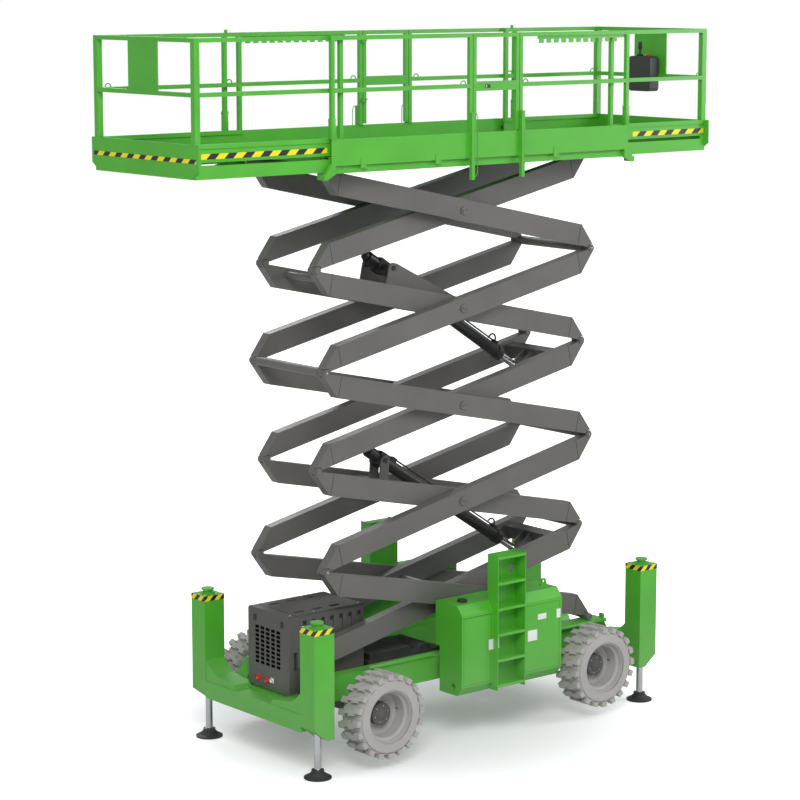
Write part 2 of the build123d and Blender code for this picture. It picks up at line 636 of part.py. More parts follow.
def knuckle():
    """Steering knuckle on the +Y side with its kingpin, drive motor and spindle."""
    x = WHEEL_X[0]
    boss = rod_z(x, KINGPIN_Y, 46, WHEEL_Z - 50, WHEEL_Z + 50)
    kingpin = rod_z(x, KINGPIN_Y, 22, WHEEL_Z - 100, WHEEL_Z + 100)
    carrier = box(x - 46, x + 46, KINGPIN_Y, HUB_FACE_Y - 60, WHEEL_Z - 50, WHEEL_Z + 50)
    drive = rod_y(x, WHEEL_Z, 95, HUB_FACE_Y - 95, HUB_FACE_Y - 60)
    spindle = rod_y(x, WHEEL_Z, 45, HUB_FACE_Y - 60, HUB_FACE_Y + 40)
    return fuse(boss, kingpin, carrier, drive, spindle)


def rim():
    """Deep dished steel wheel, revolved about Y, outer face towards +Y."""
    outer = BEAD_SEAT_W + FLANGE_WIDTH
    profile = [(FLANGE_R, outer), (RIM_BEAD_R - 4, outer), (RIM_BEAD_R - 14, outer - 40)]
    profile += [(RIM_BEAD_R - 34, outer - 60), (RIM_BEAD_R - 44, -40), (HUB_R + 40, -62), (HUB_R, -62)]
    profile += [(HUB_R, -15), (HUB_R - 20, -5), (45.05, -5), (45.05, -110), (HUB_R + 42, -110)]
    profile += [(HUB_R + 42, -76), (RIM_BEAD_R - 34, -54), (RIM_BEAD_R - 20, -outer)]
    profile += [(FLANGE_R, -outer), (FLANGE_R, -BEAD_SEAT_W), (RIM_BEAD_R, -BEAD_SEAT_W)]
    profile += [(RIM_BEAD_R, BEAD_SEAT_W), (FLANGE_R, BEAD_SEAT_W)]
    return revolve(Plane.XY * make_face(Polyline(*profile, close=True)), Axis.Y)


def tyre():
    half = TYRE_WIDTH / 2
    tread = TYRE_R
    profile = [(RIM_BEAD_R, BEAD_SEAT_W), (FLANGE_R + 3, BEAD_SEAT_W), (FLANGE_R + 6, half - 10)]
    profile += [(RIM_BEAD_R + 12, half - 2), (SIDEWALL_R - 6, half - 2), (SIDEWALL_R, half - 14)]
    profile += [(tread - LUG_DEPTH - 8, half - 20), (tread - LUG_DEPTH, half - 44)]
    mirror_side = [(r, -w) for r, w in reversed(profile)]
    carcass = revolve(Plane.XY * make_face(Polyline(*(profile + mirror_side), close=True)), Axis.Y)
    lugs = []
    for index in range(LUG_COUNT):
        angle = 360 * index / LUG_COUNT
        lugs += [Rot(0, angle, 0) * piece for piece in tyre_lug(1)]
        lugs += [Rot(0, angle + 180 / LUG_COUNT, 0) * piece for piece in tyre_lug(-1)]
    return carcass.fuse(*lugs)


def tyre_lug(side):
    """One slanting lug as two blocks, the inner one turned on round the tread."""
    half = TYRE_WIDTH / 2
    low = TYRE_R - LUG_DEPTH - 14
    outer = lug_block([(-30, half), (30, half), (38, half * 0.5), (-24, half * 0.5)], low)
    inner = lug_block([(-31, half * 0.52), (31, half * 0.52), (43, -4), (-11, -4)], low)
    pieces = [outer, Rot(0, LUG_SWEEP, 0) * inner]
    return pieces if side > 0 else [Rot(180, 0, 0) * piece for piece in pieces]


def lug_block(points, low):
    """Block over an outline of (round the tread, across the tread) from radius low to the tip."""
    widest = max(abs(around) for around, _ in points)
    top = (TYRE_R**2 - widest**2) ** 0.5
    outline = [Vector(low, across, around) for around, across in points]
    face = Face(Wire.make_polygon(outline, close=True))
    return extrude(face, top - low, dir=(1, 0, 0))


def wheel_at(shape, x, y_sign):
    middle = TYRE_FACE_Y - TYRE_WIDTH / 2
    placed = Pos(x, middle, WHEEL_Z) * shape
    return placed if y_sign > 0 else mirrored_y(placed)


keep("steer_axle", steer_axle())
keep("drive_axle", drive_axle())
rim_shape = rim()
tyre_shape = tyre()
for end_name, wheel_x in (("left", WHEEL_X[0]), ("right", WHEEL_X[1])):
    for side_name, y_sign in (("near", -1), ("far", 1)):
        keep(f"rim_{end_name}_{side_name}", wheel_at(rim_shape, wheel_x, y_sign))
        keep(f"tyre_{end_name}_{side_name}", wheel_at(tyre_shape, wheel_x, y_sign))
for side_name, turn in (("near", True), ("far", False)):
    keep(f"knuckle_{side_name}", mirrored_y(knuckle()) if turn else knuckle())


# Platform: main deck, its guard rails and gates, and two sliding extensions

def main_deck():
    x0, x1 = DECK_X
    floor_low = DECK_FLOOR_TOP - DECK_PLATE
    deck = box(x0, x1, -DECK_HALF_Y, DECK_HALF_Y, floor_low, DECK_FLOOR_TOP)
    panel = box(x0, x1, DECK_HALF_Y - 10, DECK_HALF_Y, *PANEL_Z)
    channel_web = box(x0, x1, EXT_HALF_Y + 7, EXT_HALF_Y + 15, EXT_BEAM_Z[0] - 15, floor_low)
    channel_foot = box(x0, x1, EXT_HALF_Y - 68, EXT_HALF_Y + 15, EXT_BEAM_Z[0] - 15, EXT_BEAM_Z[0] - 7)
    girder = box(x0, x1, 640, 700, 5865, floor_low)
    track_in = INNER_ARM_FACE_Y - ARM_THICKNESS - SIDE_GAP - ROLLER_WIDTH - 10
    track_out = track_in + ROLLER_WIDTH + 12
    track_low = TOP_PIN_Z + ROLLER_R + ROLLER_SEAT
    track = box(60, x1, track_in, track_out, track_low, track_low + 24)
    hanger_out = OUTER_ARM_FACE_Y + SIDE_GAP
    hanger = slab_xz([(LEFT_X - 120, floor_low), (LEFT_X - 46, TOP_PIN_Z), (LEFT_X + 46, TOP_PIN_Z),
                      (LEFT_X + 120, floor_low)], hanger_out, hanger_out + 20)
    hanger = hanger + rod_y(LEFT_X, TOP_PIN_Z, 46, hanger_out, hanger_out + 20)
    hanger = hanger - rod_y(LEFT_X, TOP_PIN_Z, JOINT_PIN_R + RUNNING_FIT, hanger_out - 1, hanger_out + 21)
    bracket_face = [(x0 + 50, PANEL_Z[0] + 20), (x0 - 4, PANEL_Z[0] + 20), (x0 - 92, 5752), (x0 - 92, 5730)]
    bracket_face += [(x0 - 50, 5730), (x0 + 50, EXT_BEAM_Z[0] - 15)]
    bracket = slab_xz(bracket_face, EXT_HALF_Y + 15, DECK_HALF_Y)
    bracket = bracket + box(x0 - 88, x0 - 50, EXT_HALF_Y - 60, DECK_HALF_Y, 5732, EXT_BEAM_Z[0] - 15)
    middle = (x0 + x1) / 2
    other = Pos(middle, 0, 0) * mirror(Pos(-middle, 0, 0) * bracket, about=Plane.YZ)
    cleats = [box(x - 32, x + 32, DECK_HALF_Y - 10, DECK_HALF_Y + 6, PANEL_Z[0] - 34, PANEL_Z[0] + 60)
              for x in CLEAT_X]
    for cleat in cleats:
        deck = fuse(deck, cleat, mirrored_y(cleat))
    pads = [box(x, x + 90, EXT_HALF_Y - 60, EXT_HALF_Y, EXT_BEAM_Z[0] - 8, EXT_BEAM_Z[0] - SLIDE_FIT)
            for x in (x0, x0 + 330, x1 - 420, x1 - 90)]
    for piece in (panel, channel_web, channel_foot, girder, track, hanger, bracket, other, *pads):
        deck = fuse(deck, piece, mirrored_y(piece))
    for x in (-1905, -1560, -1130, -700, -270, 160, 590, 1020, 1450, 1870):
        deck = deck + box(x - 25, x + 25, -EXT_HALF_Y + 70, EXT_HALF_Y - 70, track_low + 22, floor_low)
    return deck


def rail_side(x0, x1, y_out, post_xs, post_foot, post):
    """Top rail, mid rail and posts along X on the +Y side."""
    y_in = y_out - RAIL
    top = box(x0, x1, y_in, y_out, RAIL_TOP - RAIL, RAIL_TOP)
    mid = box(x0, x1, y_in, y_out, MID_RAIL_TOP - RAIL, MID_RAIL_TOP)
    side = top + mid
    for x in post_xs:
        side = side + box(x, x + post, y_out - post, y_out, post_foot, RAIL_TOP)
    return side


def main_rails():
    x0, x1 = DECK_X
    gate_low, gate_high = GATE_X
    foot = PANEL_Z[1]
    left_end = gate_low - GATE_GAP
    right_end = gate_high + GATE_GAP
    left = rail_side(x0, left_end, DECK_HALF_Y, (x0, left_end - RAIL), foot, RAIL)
    right = rail_side(right_end, x1, DECK_HALF_Y, (right_end, x1 - RAIL), foot, RAIL)
    left = left + box(left_end - RAIL, left_end, DECK_HALF_Y, DECK_HALF_Y + 38, *SLEEVE_Z)
    right = right + box(right_end, right_end + RAIL, DECK_HALF_Y, DECK_HALF_Y + 38, *SLEEVE_Z)
    far_left = fuse(left, comb(-1780, -420), *post_hinges())
    near_lugs = [turned_about_gate(lug) for lug in post_hinges()]
    near_right = fuse(mirrored_y(right), mirrored_y(comb(660, 1840)), *near_lugs)
    return Compound([mirrored_y(left), near_right, far_left, right])


def hinge_axis():
    return GATE_X[0] - GATE_GAP / 2, DECK_HALF_Y - RAIL - HINGE_R


def post_hinges():
    """Lugs on the left post that the gate's hinge pins drop into."""
    x, y = hinge_axis()
    lugs = []
    for z in HINGE_Z:
        lug = rod_z(x, y, HINGE_R, z, z + 18) + box(x - 30, x, y - HINGE_R, y + HINGE_R, z, z + 18)
        lugs.append(lug - rod_z(x, y, HINGE_PIN_R + RUNNING_FIT, z - 1, z + 19))
    return lugs


def gate_hinges():
    x, y = hinge_axis()
    lugs = []
    for z in HINGE_Z:
        low = z + 18 + SLIDE_FIT
        lug = rod_z(x, y, HINGE_R, low, low + 18) + box(x, x + 34, y - HINGE_R, y + HINGE_R, low, low + 18)
        lugs.append(lug + rod_z(x, y, HINGE_PIN_R, z - 6, low + 18))
    return lugs


def turned_about_gate(shape):
    """Half a turn about the middle of the gateway, from the far side to the near side."""
    middle = (GATE_X[0] + GATE_X[1]) / 2
    return Pos(middle, 0, 0) * Rot(0, 0, 180) * Pos(-middle, 0, 0) * shape


def comb(x0, x1):
    """Toothed strip under the top rail that the extension's latch drops into."""
    y0 = DECK_HALF_Y - 24
    strip = box(x0, x1, y0, y0 + 8, RAIL_TOP - RAIL - 30, RAIL_TOP - RAIL)
    count = int((x1 - x0) // 100)
    for index in range(count):
        x = x0 + 20 + index * 100
        strip = strip + box(x, x + 58, y0, y0 + 8, RAIL_TOP - RAIL - 68, RAIL_TOP - RAIL - 29)
    return strip


def extension_deck(end_x, inner_x, beam_inner_x):
    """Deck of one extension; end_x is its outer end plate, the beams run back inside."""
    sign = 1 if end_x > 0 else -1
    plate_in = end_x - sign * END_PLATE
    low, high = EXT_BEAM_Z
    points = [(-765, low), (765, low), (DECK_HALF_Y, 5878), (DECK_HALF_Y, EXT_TOP_Z)]
    points += [(-DECK_HALF_Y, EXT_TOP_Z), (-DECK_HALF_Y, 5878)]
    plate = slab_yz(points, plate_in, end_x)
    beam = box(plate_in, beam_inner_x, EXT_HALF_Y - 60, EXT_HALF_Y, low, high)
    top_bar = box(plate_in, inner_x, EXT_HALF_Y - RAIL, EXT_HALF_Y, EXT_TOP_Z - RAIL, EXT_TOP_Z)
    floor_low = DECK_FLOOR_TOP + DECK_SLIDE_GAP
    web = box(plate_in, inner_x, EXT_HALF_Y - 22, EXT_HALF_Y - 12, floor_low, EXT_TOP_Z - RAIL)
    floor = box(plate_in, inner_x, -EXT_HALF_Y, EXT_HALF_Y, floor_low, floor_low + DECK_PLATE)
    tie = box(plate_in, plate_in - sign * 60, -EXT_HALF_Y, EXT_HALF_Y, low + 30, floor_low)
    deck = fuse(plate, floor, tie)
    for piece in (beam, top_bar, web):
        deck = fuse(deck, piece, mirrored_y(piece))
    return deck


def extension_rails(end_x, inner_x):
    sign = 1 if end_x > 0 else -1
    post_x = end_x if sign < 0 else end_x - EXT_POST
    far_x = inner_x - RAIL if sign < 0 else inner_x
    low_x, high_x = sorted((end_x, inner_x))
    side = rail_side(low_x, high_x, EXT_HALF_Y, (far_x,), EXT_TOP_Z, RAIL)
    side = side + box(post_x, post_x + EXT_POST, EXT_HALF_Y - EXT_POST, EXT_HALF_Y, EXT_TOP_Z, RAIL_TOP)
    bar_x = sorted((end_x, end_x - sign * RAIL))
    reach = EXT_HALF_Y - EXT_POST
    top = box(bar_x[0], bar_x[1], -reach, reach, RAIL_TOP - RAIL, RAIL_TOP)
    mid = box(bar_x[0], bar_x[1], -reach, reach, MID_RAIL_TOP - RAIL, MID_RAIL_TOP)
    board_x = sorted((end_x, end_x - sign * 12))
    board = box(board_x[0], board_x[1], -240, 240, MID_RAIL_TOP - RAIL, RAIL_TOP - RAIL + 1)
    return Compound([side, mirrored_y(side), fuse(top, mid, board)])


def gate():
    """Swing gate on the +Y side, hinged at its left post."""
    x0, x1 = GATE_X
    y1 = DECK_HALF_Y
    y0 = y1 - RAIL
    foot = PANEL_Z[1] + 12
    left = box(x0, x0 + RAIL, y0, y1, foot, RAIL_TOP)
    right = box(x1 - RAIL, x1, y0, y1, foot, RAIL_TOP)
    top = box(x0, x1, y0, y1, RAIL_TOP - RAIL, RAIL_TOP)
    bar = box(x0, x1, y0, y1, *GATE_BAR_Z)
    return fuse(left, right, top, bar, *gate_hinges())


def control_box():
    x1 = EXT_RIGHT_END - RAIL
    body = box(x1 - 130, x1, -162, 163, 6393, 6764)
    body = fillet(body.edges().filter_by(Axis.X), 40)
    return body


LEFT_INNER = -1757
RIGHT_INNER = 1696
keep("main_deck", main_deck())
keep("main_rails", main_rails())
keep("extension_deck_left", extension_deck(EXT_LEFT_END, LEFT_INNER, -1440))
keep("extension_deck_right", extension_deck(EXT_RIGHT_END, RIGHT_INNER, 1040))
keep("extension_rails_left", extension_rails(EXT_LEFT_END, LEFT_INNER))
keep("extension_rails_right", extension_rails(EXT_RIGHT_END, RIGHT_INNER))
keep("gate_far", gate())
keep("gate_near", turned_about_gate(gate()))
keep("control_box", control_box())

for node_name, node_shape in nodes.items():
    export_step(Pos(ORIGIN_X, 0, 0) * node_shape, f"parts/{node_name}.step")
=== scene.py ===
import math
import bmesh
import bpy
from mathutils import Matrix, Vector


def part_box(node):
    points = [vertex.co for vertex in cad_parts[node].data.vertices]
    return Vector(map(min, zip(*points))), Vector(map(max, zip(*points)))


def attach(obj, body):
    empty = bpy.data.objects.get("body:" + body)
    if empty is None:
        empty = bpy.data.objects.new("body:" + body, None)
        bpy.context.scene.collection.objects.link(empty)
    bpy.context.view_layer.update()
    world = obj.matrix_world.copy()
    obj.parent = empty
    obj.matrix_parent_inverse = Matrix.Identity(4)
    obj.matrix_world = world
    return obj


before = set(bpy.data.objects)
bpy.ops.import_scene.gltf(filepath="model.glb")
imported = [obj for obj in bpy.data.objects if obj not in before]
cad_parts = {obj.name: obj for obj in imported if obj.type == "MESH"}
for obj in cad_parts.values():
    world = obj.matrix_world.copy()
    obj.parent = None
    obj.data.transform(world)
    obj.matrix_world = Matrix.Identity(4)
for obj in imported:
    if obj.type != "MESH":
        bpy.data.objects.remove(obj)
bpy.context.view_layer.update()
bpy.ops.object.select_all(action="DESELECT")
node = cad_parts

# Studio floor: a wide sheet of pale card under the jack pads. It shows white to the camera and
# to rays through clear materials, and keeps only the soft shadow of the machine.
bpy.ops.mesh.primitive_plane_add(size=2, location=(0, 0, -0.002))
floor = bpy.context.object
floor.name = "studio_floor"
bpy.ops.object.mode_set(mode="EDIT")
bpy.ops.transform.resize(value=(60, 60, 1))
bpy.ops.mesh.subdivide(number_cuts=3)
bpy.ops.object.mode_set(mode="OBJECT")

card = bpy.data.materials.new("studio_card")
card.use_nodes = True
tree = card.node_tree
surface = tree.nodes["Principled BSDF"]
surface.inputs["Base Color"].default_value = (0.78, 0.78, 0.79, 1)
surface.inputs["Roughness"].default_value = 0.9
surface.inputs["Specular IOR Level"].default_value = 0.1
surface.inputs["Emission Color"].default_value = (1, 1, 1, 1)
floor_place = tree.nodes.new("ShaderNodeTexCoord")
floor_reach = tree.nodes.new("ShaderNodeVectorMath")
floor_reach.operation = "LENGTH"
tree.links.new(floor_place.outputs["Object"], floor_reach.inputs[0])
# The white glow is weaker near the machine and full further out. Near the machine this is painted shade
# that deepens its shadow; beyond it is a plain white backdrop.
glow_and_painted_shade = tree.nodes.new("ShaderNodeMapRange")
glow_and_painted_shade.interpolation_type = "SMOOTHSTEP"
glow_and_painted_shade.inputs["From Min"].default_value = 1.1
glow_and_painted_shade.inputs["From Max"].default_value = 4.2
glow_and_painted_shade.inputs["To Min"].default_value = 0.2
glow_and_painted_shade.inputs["To Max"].default_value = 1.0
tree.links.new(floor_reach.outputs["Value"], glow_and_painted_shade.inputs["Value"])
floor_rays = tree.nodes.new("ShaderNodeLightPath")
seen_or_mirrored = tree.nodes.new("ShaderNodeMath")
seen_or_mirrored.operation = "MAXIMUM"
tree.links.new(floor_rays.outputs["Is Camera Ray"], seen_or_mirrored.inputs[0])
tree.links.new(floor_rays.outputs["Is Transmission Ray"], seen_or_mirrored.inputs[1])
glow = tree.nodes.new("ShaderNodeMath")
glow.operation = "MULTIPLY"
tree.links.new(glow_and_painted_shade.outputs["Result"], glow.inputs[0])
tree.links.new(seen_or_mirrored.outputs[0], glow.inputs[1])
tree.links.new(glow.outputs[0], surface.inputs["Emission Strength"])
floor.data.materials.append(card)

# World: an even, slightly cool fill from all round, made of light alone. The camera and
# clear materials see it as plain white, so the picture has no horizon.
world = bpy.data.worlds.new("studio_world")
bpy.context.scene.world = world
world.use_nodes = True
sky = world.node_tree
for old in list(sky.nodes):
    sky.nodes.remove(old)
sky_out = sky.nodes.new("ShaderNodeOutputWorld")
soft_fill = sky.nodes.new("ShaderNodeBackground")
soft_fill.inputs["Color"].default_value = (0.93, 0.95, 1, 1)
soft_fill.inputs["Strength"].default_value = 0.5
white_seen = sky.nodes.new("ShaderNodeBackground")
white_seen.inputs["Color"].default_value = (1, 1, 1, 1)
white_seen.inputs["Strength"].default_value = 1.0
rays = sky.nodes.new("ShaderNodeLightPath")
either = sky.nodes.new("ShaderNodeMath")
either.operation = "MAXIMUM"
pick = sky.nodes.new("ShaderNodeMixShader")
sky.links.new(rays.outputs["Is Camera Ray"], either.inputs[0])
sky.links.new(rays.outputs["Is Transmission Ray"], either.inputs[1])
sky.links.new(either.outputs[0], pick.inputs[0])
sky.links.new(soft_fill.outputs[0], pick.inputs[1])
sky.links.new(white_seen.outputs[0], pick.inputs[2])
sky.links.new(pick.outputs[0], sky_out.inputs["Surface"])

# Camera and lamps: a long lens from the front left and a little above, with one large
# soft key lamp on the left and a weaker one from the right.
lens = bpy.data.cameras.new("photo_lens")
lens.sensor_width = 36
lens.lens = 116.43
lens.clip_end = 200
camera = bpy.data.objects.new("photo_camera", lens)
bpy.context.collection.objects.link(camera)
HEADING = math.radians(-39.3236)
LOOK_DOWN = math.radians(9.3196)
STAND = (-16.553, -19.9431, 7.6151)
turn = Matrix.Rotation(HEADING, 4, "Z") @ Matrix.Rotation(math.radians(90) - LOOK_DOWN, 4, "X")
camera.matrix_world = Matrix.Translation(STAND) @ turn
bpy.context.scene.camera = camera
bpy.context.scene.view_settings.view_transform = "Standard"

for name, place, size, power in (
    ("key_lamp", (-11, -14, 15), 9, 2350),
    ("side_lamp", (13, -9, 9), 8, 800),
    ("back_lamp", (4, 15, 13), 8, 800),
):
    lamp = bpy.data.lights.new(name, "AREA")
    lamp.shape = "DISK"
    lamp.size = size
    lamp.energy = power
    holder = bpy.data.objects.new(name, lamp)
    bpy.context.collection.objects.link(holder)
    aim = Vector((0.2, 0, 3.4)) - Vector(place)
    holder.matrix_world = Matrix.Translation(place) @ aim.to_track_quat("-Z", "Y").to_matrix().to_4x4()

# Chassis, outriggers, tanks and ladders: welded steel plate, sprayed in one bright green.
# The paint has a light orange peel, dulls in patches and holds dust low down.
wear = bpy.data.node_groups.new("sprayed_paint", "ShaderNodeTree")
for label, kind, way in (("Paint", "Color", "INPUT"), ("Dust", "Color", "INPUT"),
                         ("Dust Height", "Float", "INPUT"), ("Roughness", "Float", "INPUT"),
                         ("Peel", "Float", "INPUT"), ("Color", "Color", "OUTPUT"),
                         ("Roughness", "Float", "OUTPUT"), ("Height", "Float", "OUTPUT")):
    wear.interface.new_socket(label, in_out=way, socket_type=f"NodeSocket{kind}")
given = wear.nodes.new("NodeGroupInput")
result = wear.nodes.new("NodeGroupOutput")
where = wear.nodes.new("ShaderNodeTexCoord")
axes = wear.nodes.new("ShaderNodeSeparateXYZ")
wear.links.new(where.outputs["Object"], axes.inputs[0])
patches = wear.nodes.new("ShaderNodeTexNoise")
patches.inputs["Scale"].default_value = 2.3
patches.inputs["Detail"].default_value = 6
wear.links.new(where.outputs["Object"], patches.inputs["Vector"])
grain = wear.nodes.new("ShaderNodeTexNoise")
grain.inputs["Scale"].default_value = 190
grain.inputs["Detail"].default_value = 3
wear.links.new(where.outputs["Object"], grain.inputs["Vector"])
low = wear.nodes.new("ShaderNodeMapRange")
low.inputs["From Min"].default_value = 0.0
low.inputs["To Min"].default_value = 1.0
low.inputs["To Max"].default_value = 0.0
wear.links.new(axes.outputs["Z"], low.inputs["Value"])
wear.links.new(given.outputs["Dust Height"], low.inputs["From Max"])
dusty = wear.nodes.new("ShaderNodeMath")
dusty.operation = "MULTIPLY"
wear.links.new(low.outputs[0], dusty.inputs[0])
wear.links.new(patches.outputs["Fac"], dusty.inputs[1])
dust_amount = wear.nodes.new("ShaderNodeMath")
dust_amount.operation = "MULTIPLY"
dust_amount.inputs[1].default_value = 0.45
wear.links.new(dusty.outputs[0], dust_amount.inputs[0])
tone = wear.nodes.new("ShaderNodeHueSaturation")
shade = wear.nodes.new("ShaderNodeMapRange")
shade.inputs["From Min"].default_value = 0.3
shade.inputs["From Max"].default_value = 0.7
shade.inputs["To Min"].default_value = 0.93
shade.inputs["To Max"].default_value = 1.06
wear.links.new(patches.outputs["Fac"], shade.inputs["Value"])
wear.links.new(shade.outputs[0], tone.inputs["Value"])
wear.links.new(given.outputs["Paint"], tone.inputs["Color"])
coat = wear.nodes.new("ShaderNodeMix")
coat.data_type = "RGBA"
wear.links.new(dust_amount.outputs[0], coat.inputs["Factor"])
wear.links.new(tone.outputs[0], coat.inputs["A"])
wear.links.new(given.outputs["Dust"], coat.inputs["B"])
wear.links.new(coat.outputs["Result"], result.inputs["Color"])
dull = wear.nodes.new("ShaderNodeMapRange")
dull.inputs["From Min"].default_value = 0.3
dull.inputs["From Max"].default_value = 0.7
dull.inputs["To Min"].default_value = -0.05
dull.inputs["To Max"].default_value = 0.09
wear.links.new(patches.outputs["Fac"], dull.inputs["Value"])
rough = wear.nodes.new("ShaderNodeMath")
rough.operation = "ADD"
wear.links.new(given.outputs["Roughness"], rough.inputs[0])
wear.links.new(dull.outputs[0], rough.inputs[1])
rougher = wear.nodes.new("ShaderNodeMath")
rougher.operation = "ADD"
wear.links.new(rough.outputs[0], rougher.inputs[0])
wear.links.new(dust_amount.outputs[0], rougher.inputs[1])
wear.links.new(rougher.outputs[0], result.inputs["Roughness"])
peel = wear.nodes.new("ShaderNodeMath")
peel.operation = "MULTIPLY"
wear.links.new(grain.outputs["Fac"], peel.inputs[0])
wear.links.new(given.outputs["Peel"], peel.inputs[1])
wear.links.new(peel.outputs[0], result.inputs["Height"])


def painted(name, colour, roughness, dust_height=1.2, peel_depth=0.5, coat_weight=0.0, metal=0.0):
    """Steel or plastic with a sprayed or moulded finish, its wear from the shared group."""
    made = bpy.data.materials.new(name)
    made.use_nodes = True
    steps = made.node_tree
    shader = steps.nodes["Principled BSDF"]
    finish = steps.nodes.new("ShaderNodeGroup")
    finish.node_tree = wear
    finish.inputs["Paint"].default_value = (*colour, 1)
    finish.inputs["Dust"].default_value = (0.42, 0.4, 0.36, 1)
    finish.inputs["Dust Height"].default_value = dust_height
    finish.inputs["Roughness"].default_value = roughness
    finish.inputs["Peel"].default_value = peel_depth
    bump = steps.nodes.new("ShaderNodeBump")
    bump.inputs["Strength"].default_value = 0.12
    bump.inputs["Distance"].default_value = 0.0008
    steps.links.new(finish.outputs["Color"], shader.inputs["Base Color"])
    steps.links.new(finish.outputs["Roughness"], shader.inputs["Roughness"])
    steps.links.new(finish.outputs["Height"], bump.inputs["Height"])
    steps.links.new(bump.outputs["Normal"], shader.inputs["Normal"])
    shader.inputs["Metallic"].default_value = metal
    shader.inputs["Coat Weight"].default_value = coat_weight
    shader.inputs["Coat Roughness"].default_value = 0.15
    return made


def dress(material, *names):
    for name in names:
        node[name].data.materials.clear()
        node[name].data.materials.append(material)


green_paint = painted("bright_green_paint", (0.075, 0.42, 0.024), 0.42, coat_weight=0.12)
dress(green_paint, "chassis_frame", "chassis_cross_members", "outrigger_frame_left",
      "outrigger_frame_right", "side_tank_near", "side_tank_far", "ladder_near", "ladder_far")

# Service tray between the beams: a black steel tray with the batteries and the hydraulic
# pack, oily and dull.
tray_black = painted("tray_black", (0.022, 0.022, 0.022), 0.5)
dress(tray_black, "service_tray")

# Warning bands on the four jack columns: one turn of reflective tape in yellow and black
# slanting stripes, just under each column's top plate.
BAND_Z = (1.434, 1.486)
COLUMN_X = 0.239
COLUMN_Y = 0.228
TAPE = 0.0015


def warning_tape(name, pitch):
    """Yellow and black stripes that slant across any upright face."""
    made = bpy.data.materials.new(name)
    made.use_nodes = True
    steps = made.node_tree
    shader = steps.nodes["Principled BSDF"]
    place = steps.nodes.new("ShaderNodeTexCoord")
    parts = steps.nodes.new("ShaderNodeSeparateXYZ")
    steps.links.new(place.outputs["Object"], parts.inputs[0])
    across = steps.nodes.new("ShaderNodeMath")
    across.operation = "SUBTRACT"
    steps.links.new(parts.outputs["X"], across.inputs[0])
    steps.links.new(parts.outputs["Y"], across.inputs[1])
    slant = steps.nodes.new("ShaderNodeMath")
    slant.operation = "SUBTRACT"
    steps.links.new(across.outputs[0], slant.inputs[0])
    steps.links.new(parts.outputs["Z"], slant.inputs[1])
    turns = steps.nodes.new("ShaderNodeMath")
    turns.operation = "MULTIPLY"
    turns.inputs[1].default_value = 1 / pitch
    steps.links.new(slant.outputs[0], turns.inputs[0])
    phase = steps.nodes.new("ShaderNodeMath")
    phase.operation = "FRACT"
    steps.links.new(turns.outputs[0], phase.inputs[0])
    dark = steps.nodes.new("ShaderNodeMath")
    dark.operation = "GREATER_THAN"
    dark.inputs[1].default_value = 0.5
    steps.links.new(phase.outputs[0], dark.inputs[0])
    scuffs = steps.nodes.new("ShaderNodeTexNoise")
    scuffs.inputs["Scale"].default_value = 45
    scuffs.inputs["Detail"].default_value = 5
    steps.links.new(place.outputs["Object"], scuffs.inputs["Vector"])
    dull = steps.nodes.new("ShaderNodeMapRange")
    dull.inputs["To Min"].default_value = 0.25
    dull.inputs["To Max"].default_value = 0.55
    steps.links.new(scuffs.outputs["Fac"], dull.inputs["Value"])
    steps.links.new(dull.outputs[0], shader.inputs["Roughness"])
    ink = steps.nodes.new("ShaderNodeMix")
    ink.data_type = "RGBA"
    ink.inputs["A"].default_value = (0.86, 0.72, 0.01, 1)
    ink.inputs["B"].default_value = (0.018, 0.018, 0.018, 1)
    steps.links.new(dark.outputs[0], ink.inputs["Factor"])
    steps.links.new(ink.outputs["Result"], shader.inputs["Base Color"])
    return made


def block(x, y, z):
    """A straight-sided piece between two limits each way, left as the only thing selected."""
    bpy.ops.object.select_all(action="DESELECT")
    middle = [sum(limits) / 2 for limits in (x, y, z)]
    spread = [limits[1] - limits[0] for limits in (x, y, z)]
    bpy.ops.mesh.primitive_cube_add(size=1, location=middle, scale=spread)
    bpy.ops.object.transform_apply(location=True, rotation=True, scale=True)
    return bpy.context.object


def keep_selected(test, kind="FACE"):
    """In edit mode, selects just the faces, edges or corners that pass the test."""
    bpy.ops.mesh.select_mode(type=kind)
    bpy.ops.mesh.select_all(action="DESELECT")
    form = bmesh.from_edit_mesh(bpy.context.edit_object.data)
    for part in {"FACE": form.faces, "EDGE": form.edges, "VERT": form.verts}[kind]:
        if test(part):
            part.select_set(True)
    bmesh.update_edit_mesh(bpy.context.edit_object.data)


def fitted(piece, name, material, body):
    """Names a finished piece, paints it, smooths its curves and fixes it to its body."""
    bpy.ops.object.select_all(action="DESELECT")
    piece.select_set(True)
    bpy.context.view_layer.objects.active = piece
    piece.name = name
    piece.data.name = name
    piece.data.materials.clear()
    piece.data.materials.append(material)
    bpy.ops.object.shade_smooth_by_angle(angle=math.radians(35))
    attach(piece, body)


column_tape = warning_tape("column_warning_tape", 0.12)
for end, x_low in (("left", -2.0965), ("right", 2.2205)):
    for side, y_low in (("near", -1.016), ("far", 0.788)):
        band = block((x_low - TAPE, x_low + COLUMN_X + TAPE),
                     (y_low - TAPE, y_low + COLUMN_Y + TAPE), BAND_Z)
        bpy.ops.object.mode_set(mode="EDIT")
        keep_selected(lambda face: abs(face.normal.z) > 0.9)
        bpy.ops.mesh.inset(thickness=TAPE * 0.9)
        bpy.ops.mesh.delete(type="FACE")
        bpy.ops.mesh.select_all(action="SELECT")
        bpy.ops.mesh.solidify(thickness=TAPE * 0.8)
        bpy.ops.mesh.normals_make_consistent(inside=False)
        bpy.ops.object.mode_set(mode="OBJECT")
        fitted(band, f"column_band_{end}_{side}", column_tape, "chassis")

# Column screws: four hexagon screws in bright zinc, turned down on their washers, hold the
# round cover plate on top of each green jack column.
zinc = painted("bright_zinc", (0.55, 0.54, 0.5), 0.3, dust_height=0.2, peel_depth=0.2, metal=1.0)


